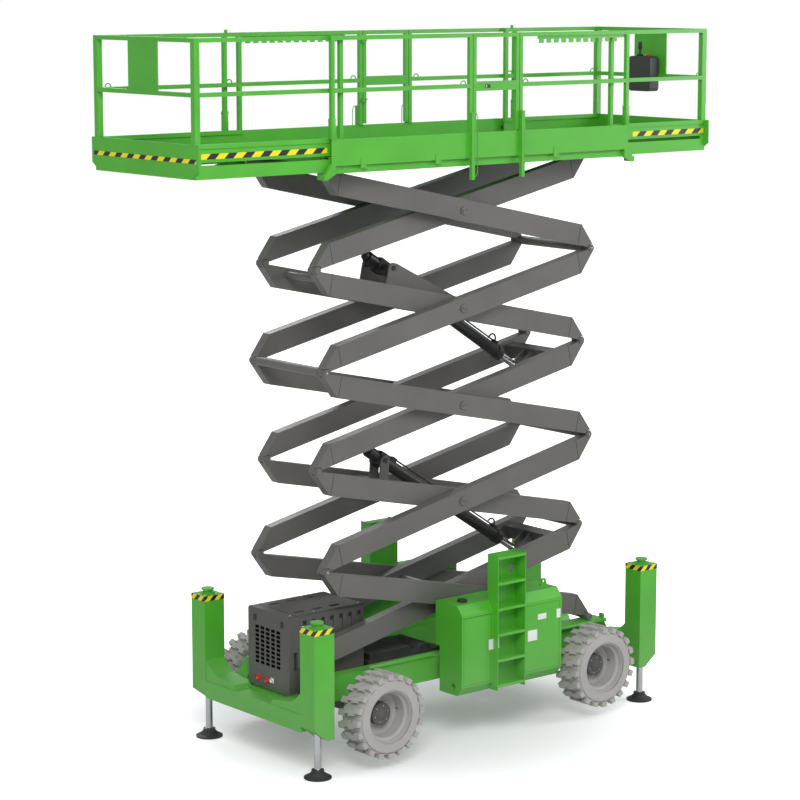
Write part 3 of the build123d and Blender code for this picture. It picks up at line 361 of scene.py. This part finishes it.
def round_bar(radius, low, high, sides=24):
    """A round bar between two points that differ along one axis only."""
    bpy.ops.object.select_all(action="DESELECT")
    run = Vector(high) - Vector(low)
    turn = run.to_track_quat("Z", "Y").to_euler()
    bpy.ops.mesh.primitive_cylinder_add(vertices=sides, radius=radius, depth=run.length,
                                        location=(Vector(low) + Vector(high)) / 2, rotation=turn)
    bpy.ops.object.transform_apply(location=True, rotation=True, scale=True)
    return bpy.context.object


def soften(width, steps=2):
    """Rounds the sharp edges of the active piece."""
    bpy.ops.object.mode_set(mode="EDIT")
    bpy.ops.mesh.select_mode(type="EDGE")
    bpy.ops.mesh.select_all(action="DESELECT")
    bpy.ops.mesh.edges_select_sharp(sharpness=math.radians(50))
    bpy.ops.mesh.bevel(offset=width, segments=steps, affect="EDGES")
    bpy.ops.object.mode_set(mode="OBJECT")


def copied(piece, change):
    twin = piece.copy()
    twin.data = piece.data.copy()
    twin.data.transform(change)
    if change.determinant() < 0:
        twin.data.flip_normals()
    bpy.context.collection.objects.link(twin)
    return twin


def joined(pieces):
    bpy.ops.object.select_all(action="DESELECT")
    for piece in pieces:
        piece.select_set(True)
    bpy.context.view_layer.objects.active = pieces[0]
    if len(pieces) > 1:
        bpy.ops.object.join()
    return pieces[0]


def hexagon_screw(size):
    """Hexagon head on its washer, its seat at the origin and its axis along Z."""
    washer = round_bar(size * 1.25, (0, 0, 0), (0, 0, size * 0.2))
    soften(size * 0.05, 1)
    head = round_bar(size, (0, 0, size * 0.2), (0, 0, size * 0.85), sides=6)
    soften(size * 0.12)
    return joined([head, washer])


COVER_TOP = 1.4872
screw = hexagon_screw(0.011)
for end, x_mid in (("left", -1.977), ("right", 2.34)):
    for side, y_mid in (("near", -0.902), ("far", 0.902)):
        heads = [copied(screw, Matrix.Translation((x_mid + dx, y_mid + dy, COVER_TOP)))
                 for dx in (-0.095, 0.095) for dy in (-0.09, 0.09)]
        fitted(joined(heads), f"column_screws_{end}_{side}", zinc, "chassis")
bpy.data.objects.remove(screw)

# Side tanks: blank white plates on the near face, steel drain plugs under the floor, a
# plastic filler cap on top, a round-bar hinge over one door, and painted shadow round both
# doors: thin dark green strips for the gaps.
TANK_SKIN = (1.0285, 1.0308)
SEAM = 0.0015
DOORS = ((-0.24, 0.12), (0.56, 1.05))
DOOR_Z = (0.625, 1.31)
plate_white = painted("plate_white", (0.8, 0.8, 0.78), 0.35)
# A darker copy of the tank green for the door seams: painted shadow in the gaps.
seam_shadow = painted("door_seam_shadow", (0.02, 0.11, 0.012), 0.6)
plates = (((0.0895, 0.2255), (0.944, 1.051)), ((0.6155, 0.7435), (0.942, 1.054)),
          ((0.7525, 0.8675), (1.149, 1.207)), ((1.0095, 1.0635), (1.129, 1.223)))
for number, (x, z) in enumerate(plates):
    plate = block(x, (-1.0318, -1.0299), z)
    soften(0.0006, 1)
    fitted(plate, f"blank_plate_{number + 1}", plate_white, "chassis")
for side, sign in (("near", -1), ("far", 1)):
    feet = []
    for x in (0.06, 0.72, 1.0):
        feet.append(round_bar(0.022, (x, sign * 0.82, 0.497), (x, sign * 0.82, 0.5155), 6))
        soften(0.003)
    fitted(joined(feet), f"tank_plugs_{side}", green_paint, "chassis")
    cap = round_bar(0.05, (-0.1, sign * 0.84, 1.4345), (-0.1, sign * 0.84, 1.462))
    bpy.ops.object.mode_set(mode="EDIT")
    keep_selected(lambda face: face.normal.z > 0.9)
    bpy.ops.mesh.inset(thickness=0.008)
    bpy.ops.transform.translate(value=(0, 0, -0.005))
    bpy.ops.object.mode_set(mode="OBJECT")
    soften(0.003)
    fitted(cap, f"filler_cap_{side}", tray_black, "chassis")
    hinge = round_bar(0.007, (-0.24, sign * 1.031, 1.325), (0.12, sign * 1.031, 1.325), 12)
    bpy.ops.object.mode_set(mode="EDIT")
    bpy.ops.mesh.select_all(action="SELECT")
    bpy.ops.mesh.bisect(plane_co=(-0.06, 0, 0), plane_no=(1, 0, 0))
    bpy.ops.mesh.bevel(offset=0.002, segments=1, affect="EDGES")
    bpy.ops.object.mode_set(mode="OBJECT")
    fitted(hinge, f"door_hinge_{side}", green_paint, "chassis")
    skin = sorted(sign * depth for depth in TANK_SKIN)
    # Thin strips round each door, in the darker green: painted shadow in the door gaps.
    seams = [block((x - SEAM, x + SEAM), skin, DOOR_Z) for door in DOORS for x in door]
    seams += [block(door, skin, (z - SEAM, z + SEAM)) for door in DOORS for z in DOOR_Z]
    joined(seams)
    soften(0.0004, 1)
    fitted(seams[0], f"door_gap_shadows_{side}", seam_shadow, "chassis")

# Power box: folded sheet steel in dark warm grey, with louvres, a lid and a square grille.
# Inside the grille and the slots the colour is near black, painted shade for the dark
# recesses; the charging sockets sit low on the end face.
power_paint = painted("power_box_grey", (0.085, 0.081, 0.074), 0.42)
box_steps = power_paint.node_tree
box_place = box_steps.nodes.new("ShaderNodeTexCoord")
box_axes = box_steps.nodes.new("ShaderNodeSeparateXYZ")
box_steps.links.new(box_place.outputs["Object"], box_axes.inputs[0])
# Mask of the surfaces just behind the end face at the grille, painted near black as shade.
within = []
for axis, middle, reach in (("X", -1.870, 0.0165), ("Z", 1.094, 0.197), ("Y", 0.012, 0.21)):
    near_middle = box_steps.nodes.new("ShaderNodeMath")
    near_middle.operation = "COMPARE"
    near_middle.inputs[1].default_value = middle
    near_middle.inputs[2].default_value = reach
    box_steps.links.new(box_axes.outputs[axis], near_middle.inputs[0])
    within.append(near_middle)
grille_shade_mask = within[0]
for other in within[1:]:
    product = box_steps.nodes.new("ShaderNodeMath")
    product.operation = "MULTIPLY"
    box_steps.links.new(grille_shade_mask.outputs[0], product.inputs[0])
    box_steps.links.new(other.outputs[0], product.inputs[1])
    grille_shade_mask = product
# Near black mixed in over the mask: painted shade in the grille recesses.
painted_grille_shade = box_steps.nodes.new("ShaderNodeMix")
painted_grille_shade.data_type = "RGBA"
painted_grille_shade.inputs["B"].default_value = (0.012, 0.012, 0.012, 1)
finish_of_box = next(step for step in box_steps.nodes if step.type == "GROUP")
box_steps.links.new(grille_shade_mask.outputs[0], painted_grille_shade.inputs["Factor"])
box_steps.links.new(finish_of_box.outputs["Color"], painted_grille_shade.inputs["A"])
box_shader = box_steps.nodes["Principled BSDF"]
box_steps.links.new(painted_grille_shade.outputs["Result"], box_shader.inputs["Base Color"])
dress(power_paint, "power_box")

socket_red = painted("socket_red", (0.6, 0.02, 0.015), 0.35)
socket_white = painted("socket_white", (0.75, 0.75, 0.72), 0.4)
for label, y, z, radius, finish in (("battery_socket_1", 0.158, 0.76, 0.026, socket_red),
                                    ("battery_socket_2", 0.02, 0.755, 0.022, socket_red),
                                    ("mains_inlet", -0.06, 0.768, 0.02, socket_white)):
    half = radius * 1.3
    flange = block((-1.8915, -1.8884), (y - half, y + half), (z - half, z + half))
    soften(0.0012, 1)
    barrel = round_bar(radius, (-1.8885, y, z), (-1.911, y, z), 20)
    bpy.ops.object.mode_set(mode="EDIT")
    keep_selected(lambda face: face.normal.x < -0.9)
    bpy.ops.mesh.inset(thickness=radius * 0.25)
    bpy.ops.transform.translate(value=(0.012, 0, 0))
    bpy.ops.object.mode_set(mode="OBJECT")
    soften(0.0012, 1)
    fitted(joined([barrel, flange]), label, finish, "chassis")
latches = []
for y in (-0.22, 0.22):
    latches.append(block((-1.8955, -1.8884), (y - 0.02, y + 0.02), (1.33, 1.39)))
    soften(0.003)
fitted(joined(latches), "power_box_latches", tray_black, "chassis")
screw = hexagon_screw(0.009)
lid_screws = [copied(screw, Matrix.Translation((x, y, 1.4578)))
              for x in (-1.84, -1.55, -1.25, -0.99) for y in (-0.29, 0.29)]
fitted(joined(lid_screws), "power_box_lid_screws", zinc, "chassis")
bpy.data.objects.remove(screw)

# Axles, knuckles and the barrels of the lift cylinders: black satin enamel.
black_enamel = painted("black_enamel", (0.026, 0.025, 0.024), 0.36)
dress(black_enamel, "steer_axle", "drive_axle", "knuckle_near", "knuckle_far",
      "lift_barrel_lower", "lift_barrel_upper")

# Wheels: pressed steel rims in light grey, with light grey non-marking rubber tyres. Each
# dark hub drum has small screws on its face, and nine wheel nuts ring it on the rim.
rim_paint = painted("light_grey_rim", (0.41, 0.4, 0.385), 0.42)
pale_rubber = painted("non_marking_rubber", (0.42, 0.405, 0.385), 0.78, peel_depth=1.8)
drum_grey = painted("hub_drum_grey", (0.05, 0.05, 0.052), 0.4)
hose_rubber = painted("black_hose_rubber", (0.02, 0.02, 0.02), 0.6)
WHEEL_Z = 0.531
HUB_RADIUS = 0.1145
NUT_RING = 0.134
SCREW_RING = 0.082
for end, wheel_x in (("left", -1.2785), ("right", 1.5815)):
    for side, sign in (("near", -1), ("far", 1)):
        body = f"wheel_{end}_{side}"
        dress(rim_paint, f"rim_{end}_{side}")
        dress(pale_rubber, f"tyre_{end}_{side}")
        drum = round_bar(HUB_RADIUS, (wheel_x, sign * 0.9486, WHEEL_Z),
                         (wheel_x, sign * 1.0105, WHEEL_Z), 48)
        bpy.ops.object.mode_set(mode="EDIT")
        keep_selected(lambda face: face.normal.y * sign > 0.9)
        bpy.ops.mesh.inset(thickness=0.018)
        bpy.ops.transform.translate(value=(0, sign * 0.006, 0))
        bpy.ops.mesh.inset(thickness=0.03)
        bpy.ops.transform.translate(value=(0, sign * -0.004, 0))
        bpy.ops.mesh.inset(thickness=0.02)
        bpy.ops.transform.translate(value=(0, sign * 0.014, 0))
        bpy.ops.object.mode_set(mode="OBJECT")
        soften(0.002)
        fitted(drum, f"hub_drum_{end}_{side}", drum_grey, body)
        nut = hexagon_screw(0.0135)
        outward = Matrix.Rotation(math.radians(-90 * sign), 4, "X")
        nuts = []
        for turn in range(9):
            angle = math.radians(40 * turn)
            place = (wheel_x + NUT_RING * math.cos(angle), sign * 0.9484,
                     WHEEL_Z + NUT_RING * math.sin(angle))
            nuts.append(copied(nut, Matrix.Translation(place) @ outward))
        small = hexagon_screw(0.007)
        for turn in range(6):
            angle = math.radians(60 * turn + 15)
            place = (wheel_x + SCREW_RING * math.cos(angle), sign * 1.0125,
                     WHEEL_Z + SCREW_RING * math.sin(angle))
            nuts.append(copied(small, Matrix.Translation(place) @ outward))
        fitted(joined(nuts), f"wheel_nuts_{end}_{side}", zinc, body)
        bpy.data.objects.remove(nut)
        bpy.data.objects.remove(small)
        stem = round_bar(0.005, (wheel_x + 0.2, sign * 0.985, WHEEL_Z + 0.02),
                         (wheel_x + 0.2, sign * 1.02, WHEEL_Z + 0.02), 10)
        soften(0.0012, 1)
        fitted(stem, f"air_valve_{end}_{side}", hose_rubber, body)

# Jack legs and cylinder rods: hard chromed steel, ground bright. The cast foot pads below
# the legs are one piece with them and dark grey, told apart by their height.
PAD_TOP = 0.0905
chromed = painted("chromed_steel", (0.62, 0.62, 0.62), 0.16, dust_height=0.3, peel_depth=0.1, metal=1.0)
dress(chromed, "lift_rod_lower", "lift_rod_upper")
leg_finish = painted("chromed_leg_dark_pad", (0.62, 0.62, 0.62), 0.16, dust_height=0.3, peel_depth=0.1)
leg_steps = leg_finish.node_tree
leg_place = leg_steps.nodes.new("ShaderNodeTexCoord")
leg_axes = leg_steps.nodes.new("ShaderNodeSeparateXYZ")
leg_steps.links.new(leg_place.outputs["Object"], leg_axes.inputs[0])
above_pad = leg_steps.nodes.new("ShaderNodeMath")
above_pad.operation = "GREATER_THAN"
above_pad.inputs[1].default_value = PAD_TOP
leg_steps.links.new(leg_axes.outputs["Z"], above_pad.inputs[0])
pad_or_rod = leg_steps.nodes.new("ShaderNodeMix")
pad_or_rod.data_type = "RGBA"
pad_or_rod.inputs["A"].default_value = (0.03, 0.03, 0.032, 1)
leg_group = next(step for step in leg_steps.nodes if step.type == "GROUP")
leg_shader = leg_steps.nodes["Principled BSDF"]
leg_steps.links.new(above_pad.outputs[0], pad_or_rod.inputs["Factor"])
leg_steps.links.new(leg_group.outputs["Color"], pad_or_rod.inputs["B"])
leg_steps.links.new(pad_or_rod.outputs["Result"], leg_shader.inputs["Base Color"])
leg_steps.links.new(above_pad.outputs[0], leg_shader.inputs["Metallic"])
gloss = leg_steps.nodes.new("ShaderNodeMapRange")
gloss.inputs["To Min"].default_value = 0.5
gloss.inputs["To Max"].default_value = 0.17
leg_steps.links.new(above_pad.outputs[0], gloss.inputs["Value"])
leg_steps.links.new(gloss.outputs[0], leg_shader.inputs["Roughness"])
dress(leg_finish, "jack_leg_left_near", "jack_leg_left_far", "jack_leg_right_near", "jack_leg_right_far")

# Scissor frames: welded box arms with pins and tubes, in dark grey satin paint. Weld beads
# close each arm's tapered end plates, and hexagon screws hold the pins.
arm_paint = painted("scissor_grey", (0.125, 0.12, 0.11), 0.4, coat_weight=0.05)
dress(arm_paint, *(f"{kind}_frame_{level}" for kind in ("inner", "outer") for level in range(1, 6)))
weld_dark = painted("weld_bead_dark", (0.045, 0.043, 0.04), 0.5)
ARM_RUN = 3.587
ARM_TILT = math.radians(12.18)
STAGE_RISE = 0.97585
FOOT_Z = 0.9335
PIN_RISE = 0.112
BEAD_REACH = 0.1065
BEAD_STEP = BEAD_REACH / 10


def on_arm(rises_right, level):
    """Turns the flat drawing of a frame (along X, up Z, pins off the middle) into place."""
    tilt = Matrix.Rotation(-ARM_TILT, 4, "Y") @ Matrix.Translation((0, 0, PIN_RISE))
    start_z = FOOT_Z + (level - 1) * STAGE_RISE
    if rises_right:
        return Matrix.Translation((-1.6155, 0, start_z)) @ tilt
    return Matrix.Translation((1.8434, 0, start_z)) @ Matrix.Scale(-1, 4, (1, 0, 0)) @ tilt


bead = round_bar(0.0032, (0, 0, -BEAD_REACH), (0, 0, BEAD_REACH), 8)
bpy.ops.object.mode_set(mode="EDIT")
for cut in range(1, 20):
    bpy.ops.mesh.select_all(action="SELECT")
    bpy.ops.mesh.bisect(plane_co=(0, 0, -BEAD_REACH + BEAD_STEP * cut), plane_no=(0, 0, 1))
keep_selected(lambda corner: round((corner.co.z + BEAD_REACH) / BEAD_STEP) % 2 == 1, "VERT")
bpy.ops.transform.resize(value=(0.72, 0.72, 1), center_override=(0, 0, 0))
bpy.ops.object.mode_set(mode="OBJECT")
pin_screw = hexagon_screw(0.009)
for kind, face_y in (("inner", 0.4715), ("outer", 0.5995)):
    for level in range(1, 6):
        seated = on_arm((kind == "inner") == (level % 2 == 1), level)
        beads = [copied(bead, seated @ Matrix.Translation((along, sign * face_y, 0)))
                 for along in (0.192, ARM_RUN - 0.192) for sign in (-1, 1)]
        fitted(joined(beads), f"weld_beads_{kind}_{level}", weld_dark,
               f"{kind}_scissor_{level}")
        screws = []
        for sign in (-1, 1):
            outward = Matrix.Rotation(math.radians(-90 * sign), 4, "X")
            if kind == "inner":
                for dx in (-0.02, 0.02):
                    place = Matrix.Translation((ARM_RUN / 2 + dx, sign * 0.6113, 0))
                    screws.append(copied(pin_screw, seated @ place @ outward @ Matrix.Scale(0.6, 4)))
            elif level < 5:
                place = Matrix.Translation((ARM_RUN, sign * 0.6073, PIN_RISE))
                screws.append(copied(pin_screw, seated @ place @ outward))
        if screws:
            screw_finish = black_enamel if kind == "inner" else zinc
            fitted(joined(screws), f"pin_screws_{kind}_{level}", screw_finish,
                   f"{kind}_scissor_{level}")
bpy.data.objects.remove(bead)
bpy.data.objects.remove(pin_screw)

# Hoses at the lift cylinders: short black hoses loop from the gland back to the barrel's
# pipe, with bright crimped ends.
LOOP_RING = 0.045
LOOP_X = 1.7213
LOOP_Z = 0.094
HOSE = 0.009


def bent_round(radius, ring, centre, axis, start, angle, steps=20):
    """Part of a ring of hose or bar: a round section spun about the centre."""
    bpy.ops.object.select_all(action="DESELECT")
    side = Vector(start).normalized()
    turn = Vector(axis).cross(side).to_track_quat("Z", "Y").to_euler()
    bpy.ops.mesh.primitive_circle_add(vertices=12, radius=radius, fill_type="NGON",
                                      location=Vector(centre) + side * ring, rotation=turn)
    bpy.ops.object.transform_apply(location=True, rotation=True, scale=True)
    piece = bpy.context.object
    bpy.ops.object.mode_set(mode="EDIT")
    bpy.ops.mesh.select_all(action="SELECT")
    bpy.ops.mesh.spin(steps=steps, angle=math.radians(-angle), center=centre, axis=axis)
    bpy.ops.mesh.select_all(action="SELECT")
    bpy.ops.mesh.remove_doubles(threshold=0.00005)
    bpy.ops.mesh.normals_make_consistent(inside=False)
    bpy.ops.object.mode_set(mode="OBJECT")
    return piece


cylinder_lean = math.atan2(1.19, 1.84)
for name, top_z in (("lower", 2.81), ("upper", 2.81 + 2 * STAGE_RISE)):
    seat = Matrix.Translation((-0.4785, 0, top_z)) @ Matrix.Rotation(cylinder_lean, 4, "Y")
    loop = bent_round(HOSE, LOOP_RING, (LOOP_X, 0, LOOP_Z), (0, 1, 0), (1, 0, 0), -180)
    tail = round_bar(HOSE, (LOOP_X - LOOP_RING, 0, LOOP_Z), (LOOP_X - LOOP_RING, 0, 0.075), 12)
    loop = joined([loop, tail])
    loop.data.transform(seat)
    fitted(loop, f"gland_hose_{name}", hose_rubber, f"cylinder_{name}")
    crimps = []
    for x in (LOOP_X + LOOP_RING, LOOP_X - LOOP_RING):
        crimps.append(round_bar(0.0125, (x, 0, 0.072), (x, 0, 0.098), 12))
        soften(0.0015, 1)
    crimps = joined(crimps)
    crimps.data.transform(seat)
    fitted(crimps, f"hose_crimps_{name}", zinc, f"cylinder_{name}")

# Platform: green deck, toe boards and tube rails, all welded and sprayed.
rail_green = painted("rail_green_paint", (0.075, 0.41, 0.028), 0.38, coat_weight=0.12)
dress(green_paint, "main_deck", "extension_deck_left", "extension_deck_right")
dress(rail_green, "main_rails", "extension_rails_left", "extension_rails_right", "gate_near", "gate_far")

# Corner post sleeves: a square socket is welded round the foot of each corner post, with a
# spring pin through it.
SOCKET_HALF = 0.0255
for side, sign in (("near", -1), ("far", 1)):
    sleeves = []
    pins = []
    for x in (-1.7345, 2.0655):
        y = sign * 0.857
        walls = block((x - SOCKET_HALF, x + SOCKET_HALF), (y - SOCKET_HALF, y + SOCKET_HALF),
                      (6.1085, 6.303))
        bpy.ops.object.mode_set(mode="EDIT")
        keep_selected(lambda face: face.normal.z > 0.9)
        bpy.ops.mesh.inset(thickness=0.0055)
        bpy.ops.transform.translate(value=(0, 0, -0.002))
        bpy.ops.object.mode_set(mode="OBJECT")
        soften(0.0015)
        sleeves.append(walls)
        pin = round_bar(0.008, (x - 0.045, y, 6.285), (x + 0.045, y, 6.285), 14)
        soften(0.002)
        pins.append(pin)
    fitted(joined(sleeves), f"post_sleeves_{side}", rail_green, "platform")
    fitted(joined(pins), f"sleeve_pins_{side}", rail_green, "platform")

# Eye loops: half rings of 12 mm round bar, bent cold and welded on the middle rails for
# lanyards, green like the rails.
main_spots = ((-1.6785, 0.857), (-0.1285, 0.857), (0.7015, 0.857), (2.0015, 0.857),
              (-0.1285, -0.857), (0.6815, -0.857))
for body, label, spots in (("platform", "main", main_spots),
                           ("extension_left", "left", ((-3.1185, 0.805),)),
                           ("extension_right", "right", ((3.1665, 0.805), (3.1665, -0.805)))):
    loops = [bent_round(0.006, 0.031, (x, y, 6.578), (0, 1, 0), (1, 0, 0), -180)
             for x, y in spots]
    fitted(joined(loops), f"eye_loops_{label}", rail_green, body)

# Wire grips: hoops of 8 mm rod beside the gate post tubes, bent to a quarter turn at each
# end and welded to the tubes, green like the rails.
GRIP = 0.004
GRIP_BEND = 0.045
GRIP_FOOT = 5.725
GRIP_TOP = 6.255
for side, sign, hoops in (("near", -1, ((-0.0215, 1, -0.9), (0.6295, 1, -0.8575))),
                          ("far", 1, ((-0.0615, -1, 0.9), (0.5895, -1, 0.9)))):
    bars = []
    for x, out, y in hoops:
        stem_x = x + out * GRIP_BEND
        bars.append(bent_round(GRIP, GRIP_BEND, (x, y, GRIP_TOP), (0, 1, 0), (0, 0, 1), 90 * out))
        bars.append(round_bar(GRIP, (stem_x, y, GRIP_FOOT), (stem_x, y, GRIP_TOP), 12))
        bars.append(bent_round(GRIP, GRIP_BEND, (x, y, GRIP_FOOT), (0, 1, 0), (out, 0, 0), 90 * out))
    fitted(joined(bars), f"wire_grips_{side}", rail_green, "platform")

# Gate latches: a dark moulded slam latch set in each gate's middle bar, with a white thumb
# button on its face.
for side, sign, x in (("near", -1, 0.1715), ("far", 1, 0.4555)):
    latch = block((x - 0.032, x + 0.032), sorted((sign * 0.874, sign * 0.8815)), (6.536, 6.57))
    soften(0.002)
    fitted(latch, f"gate_latch_{side}", tray_black, f"gate_{side}")
    thumb = block((x - 0.026, x - 0.016), sorted((sign * 0.876, sign * 0.884)), (6.541, 6.565))
    soften(0.001, 1)
    fitted(thumb, f"gate_thumb_{side}", socket_white, f"gate_{side}")

# Rail knobs: two turned steel knobs stand on the ends of the far top rail, green like it,
# with a raised crown.
knobs = []
for x in (-1.7125, 2.0275):
    knobs.append(round_bar(0.016, (x, 0.857, 7.064), (x, 0.857, 7.09), 20))
    bpy.ops.object.mode_set(mode="EDIT")
    keep_selected(lambda face: face.normal.z > 0.9)
    bpy.ops.mesh.inset(thickness=0.006)
    bpy.ops.transform.translate(value=(0, 0, 0.004))
    bpy.ops.object.mode_set(mode="OBJECT")
    soften(0.002)
fitted(joined(knobs), "rail_knobs", rail_green, "platform")

# Slide stops and roller ends under the deck corners: rubber buffers and nylon rollers on
# screws, seen below the toe boards.
buffers = []
for x in (1.9055, -1.5955):
    for y in (-0.857, 0.857):
        buffers.append(round_bar(0.018, (x, y, 6.0), (x, y, 6.036), 16))
        soften(0.004)
fitted(joined(buffers), "slide_buffers", tray_black, "platform")
nylon = painted("nylon_grey", (0.42, 0.45, 0.4), 0.5)
rollers = []
for x in (-1.8, 2.131):
    for sign in (-1, 1):
        rollers.append(round_bar(0.02, (x, sign * 0.842, 5.765), (x, sign * 0.872, 5.765), 24))
        soften(0.003)
fitted(joined(rollers), "corner_rollers", nylon, "platform")

# Deck stripes: yellow and black warning tape, stuck along the end plates and the side webs
# of the two extensions.
deck_tape = warning_tape("deck_warning_tape", 0.2)
for side, x_out, sign, x_web in (("left", -3.2625, -1, (-3.19, -1.76)),
                                 ("right", 3.2625, 1, (2.21, 3.245))):
    strips = [block(sorted((x_out, x_out + sign * 0.0012)), (-0.84, 0.84), (5.945, 5.985))]
    for face in (-1, 1):
        strips.append(block(x_web, sorted((face * 0.813, face * 0.8142)), (5.98, 6.03)))
    joined(strips)
    soften(0.0003, 1)
    fitted(strips[0], f"deck_tape_{side}", deck_tape, f"extension_{side}")

# Deck treads: checker plate 1.2 mm thick on the floor of the deck and of the extensions, in
# a duller green. Its lobes are a pattern of raised ovals, two ways in turn.
checker = bpy.data.node_groups.new("checker_plate", "ShaderNodeTree")
checker.interface.new_socket("Pitch", in_out="INPUT", socket_type="NodeSocketFloat")
checker.interface.new_socket("Height", in_out="OUTPUT", socket_type="NodeSocketFloat")
ask = checker.nodes.new("NodeGroupInput")
give = checker.nodes.new("NodeGroupOutput")
spot = checker.nodes.new("ShaderNodeTexCoord")
turned = checker.nodes.new("ShaderNodeMapping")
turned.inputs["Rotation"].default_value = (0, 0, math.radians(45))
checker.links.new(spot.outputs["Object"], turned.inputs["Vector"])
spread = checker.nodes.new("ShaderNodeVectorMath")
spread.operation = "SCALE"
checker.links.new(turned.outputs[0], spread.inputs[0])
checker.links.new(ask.outputs["Pitch"], spread.inputs["Scale"])
lobes = []
for long_way, short_way in (("X", "Y"), ("Y", "X")):
    split = checker.nodes.new("ShaderNodeSeparateXYZ")
    checker.links.new(spread.outputs[0], split.inputs[0])
    squares = []
    for way, width in ((long_way, 2.3), (short_way, 7.0)):
        shift = checker.nodes.new("ShaderNodeMath")
        shift.operation = "ADD"
        shift.inputs[1].default_value = 0.0 if long_way == "X" else 0.5
        checker.links.new(split.outputs[way], shift.inputs[0])
        part = checker.nodes.new("ShaderNodeMath")
        part.operation = "FRACT"
        checker.links.new(shift.outputs[0], part.inputs[0])
        centred = checker.nodes.new("ShaderNodeMath")
        centred.operation = "MULTIPLY_ADD"
        centred.inputs[1].default_value = width
        centred.inputs[2].default_value = -width / 2
        checker.links.new(part.outputs[0], centred.inputs[0])
        square = checker.nodes.new("ShaderNodeMath")
        square.operation = "POWER"
        square.inputs[1].default_value = 2
        checker.links.new(centred.outputs[0], square.inputs[0])
        squares.append(square)
    total = checker.nodes.new("ShaderNodeMath")
    total.operation = "ADD"
    checker.links.new(squares[0].outputs[0], total.inputs[0])
    checker.links.new(squares[1].outputs[0], total.inputs[1])
    lobe = checker.nodes.new("ShaderNodeMapRange")
    lobe.inputs["From Min"].default_value = 1.0
    lobe.inputs["From Max"].default_value = 0.5
    checker.links.new(total.outputs[0], lobe.inputs["Value"])
    lobes.append(lobe)
either_lobe = checker.nodes.new("ShaderNodeMath")
either_lobe.operation = "MAXIMUM"
checker.links.new(lobes[0].outputs[0], either_lobe.inputs[0])
checker.links.new(lobes[1].outputs[0], either_lobe.inputs[1])
checker.links.new(either_lobe.outputs[0], give.inputs["Height"])
tread_green = painted("deck_tread_green", (0.06, 0.33, 0.03), 0.5)
tread_steps = tread_green.node_tree
raised = tread_steps.nodes.new("ShaderNodeGroup")
raised.node_tree = checker
raised.inputs["Pitch"].default_value = 26
stamp = tread_steps.nodes.new("ShaderNodeBump")
stamp.inputs["Strength"].default_value = 0.8
stamp.inputs["Distance"].default_value = 0.002
tread_steps.links.new(raised.outputs["Height"], stamp.inputs["Height"])
tread_steps.links.new(stamp.outputs["Normal"], tread_steps.nodes["Principled BSDF"].inputs["Normal"])
for label, body, x, half_y, z in (("main", "platform", (-1.75, 2.08), 0.8, 5.945),
                                  ("left", "extension_left", (-3.25, -1.58), 0.79, 5.961),
                                  ("right", "extension_right", (1.88, 3.25), 0.79, 5.961)):
    sheet = block(x, (-half_y, half_y), (z, z + 0.0012))
    soften(0.0005, 1)
    fitted(sheet, f"deck_tread_{label}", tread_green, body)

# Control box: moulded dark grey plastic housing on the right end rail, with a lever, a red
# stop button and a row of switches on its sloping top.
dark_plastic = painted("control_box_plastic", (0.045, 0.045, 0.047), 0.5)
dress(dark_plastic, "control_box")
box_low, box_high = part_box("control_box")
mid_x = (box_low[0] + box_high[0]) / 2
top = box_high[2]
LEVER_Y = 0.06
STOP_Y = -0.08
lever = round_bar(0.009, (mid_x, LEVER_Y, top), (mid_x, LEVER_Y, top + 0.075), 14)
grip = round_bar(0.02, (mid_x, LEVER_Y, top + 0.07), (mid_x, LEVER_Y, top + 0.15), 20)
soften(0.008, 3)
boot = round_bar(0.034, (mid_x, LEVER_Y, top - 0.002), (mid_x, LEVER_Y, top + 0.022), 24)
soften(0.008, 3)
fitted(joined([lever, grip, boot]), "control_lever", hose_rubber, "extension_right")
stop = round_bar(0.024, (mid_x, STOP_Y, top - 0.001), (mid_x, STOP_Y, top + 0.024), 28)
soften(0.005, 3)
fitted(stop, "stop_button", socket_red, "extension_right")
switches = []
for y in (-0.03, -0.005, 0.02):
    switches.append(round_bar(0.006, (mid_x + 0.02, y, top - 0.001),
                              (mid_x + 0.02, y, top + 0.02), 12))
    soften(0.002)
fitted(joined(switches), "control_switches", zinc, "extension_right")
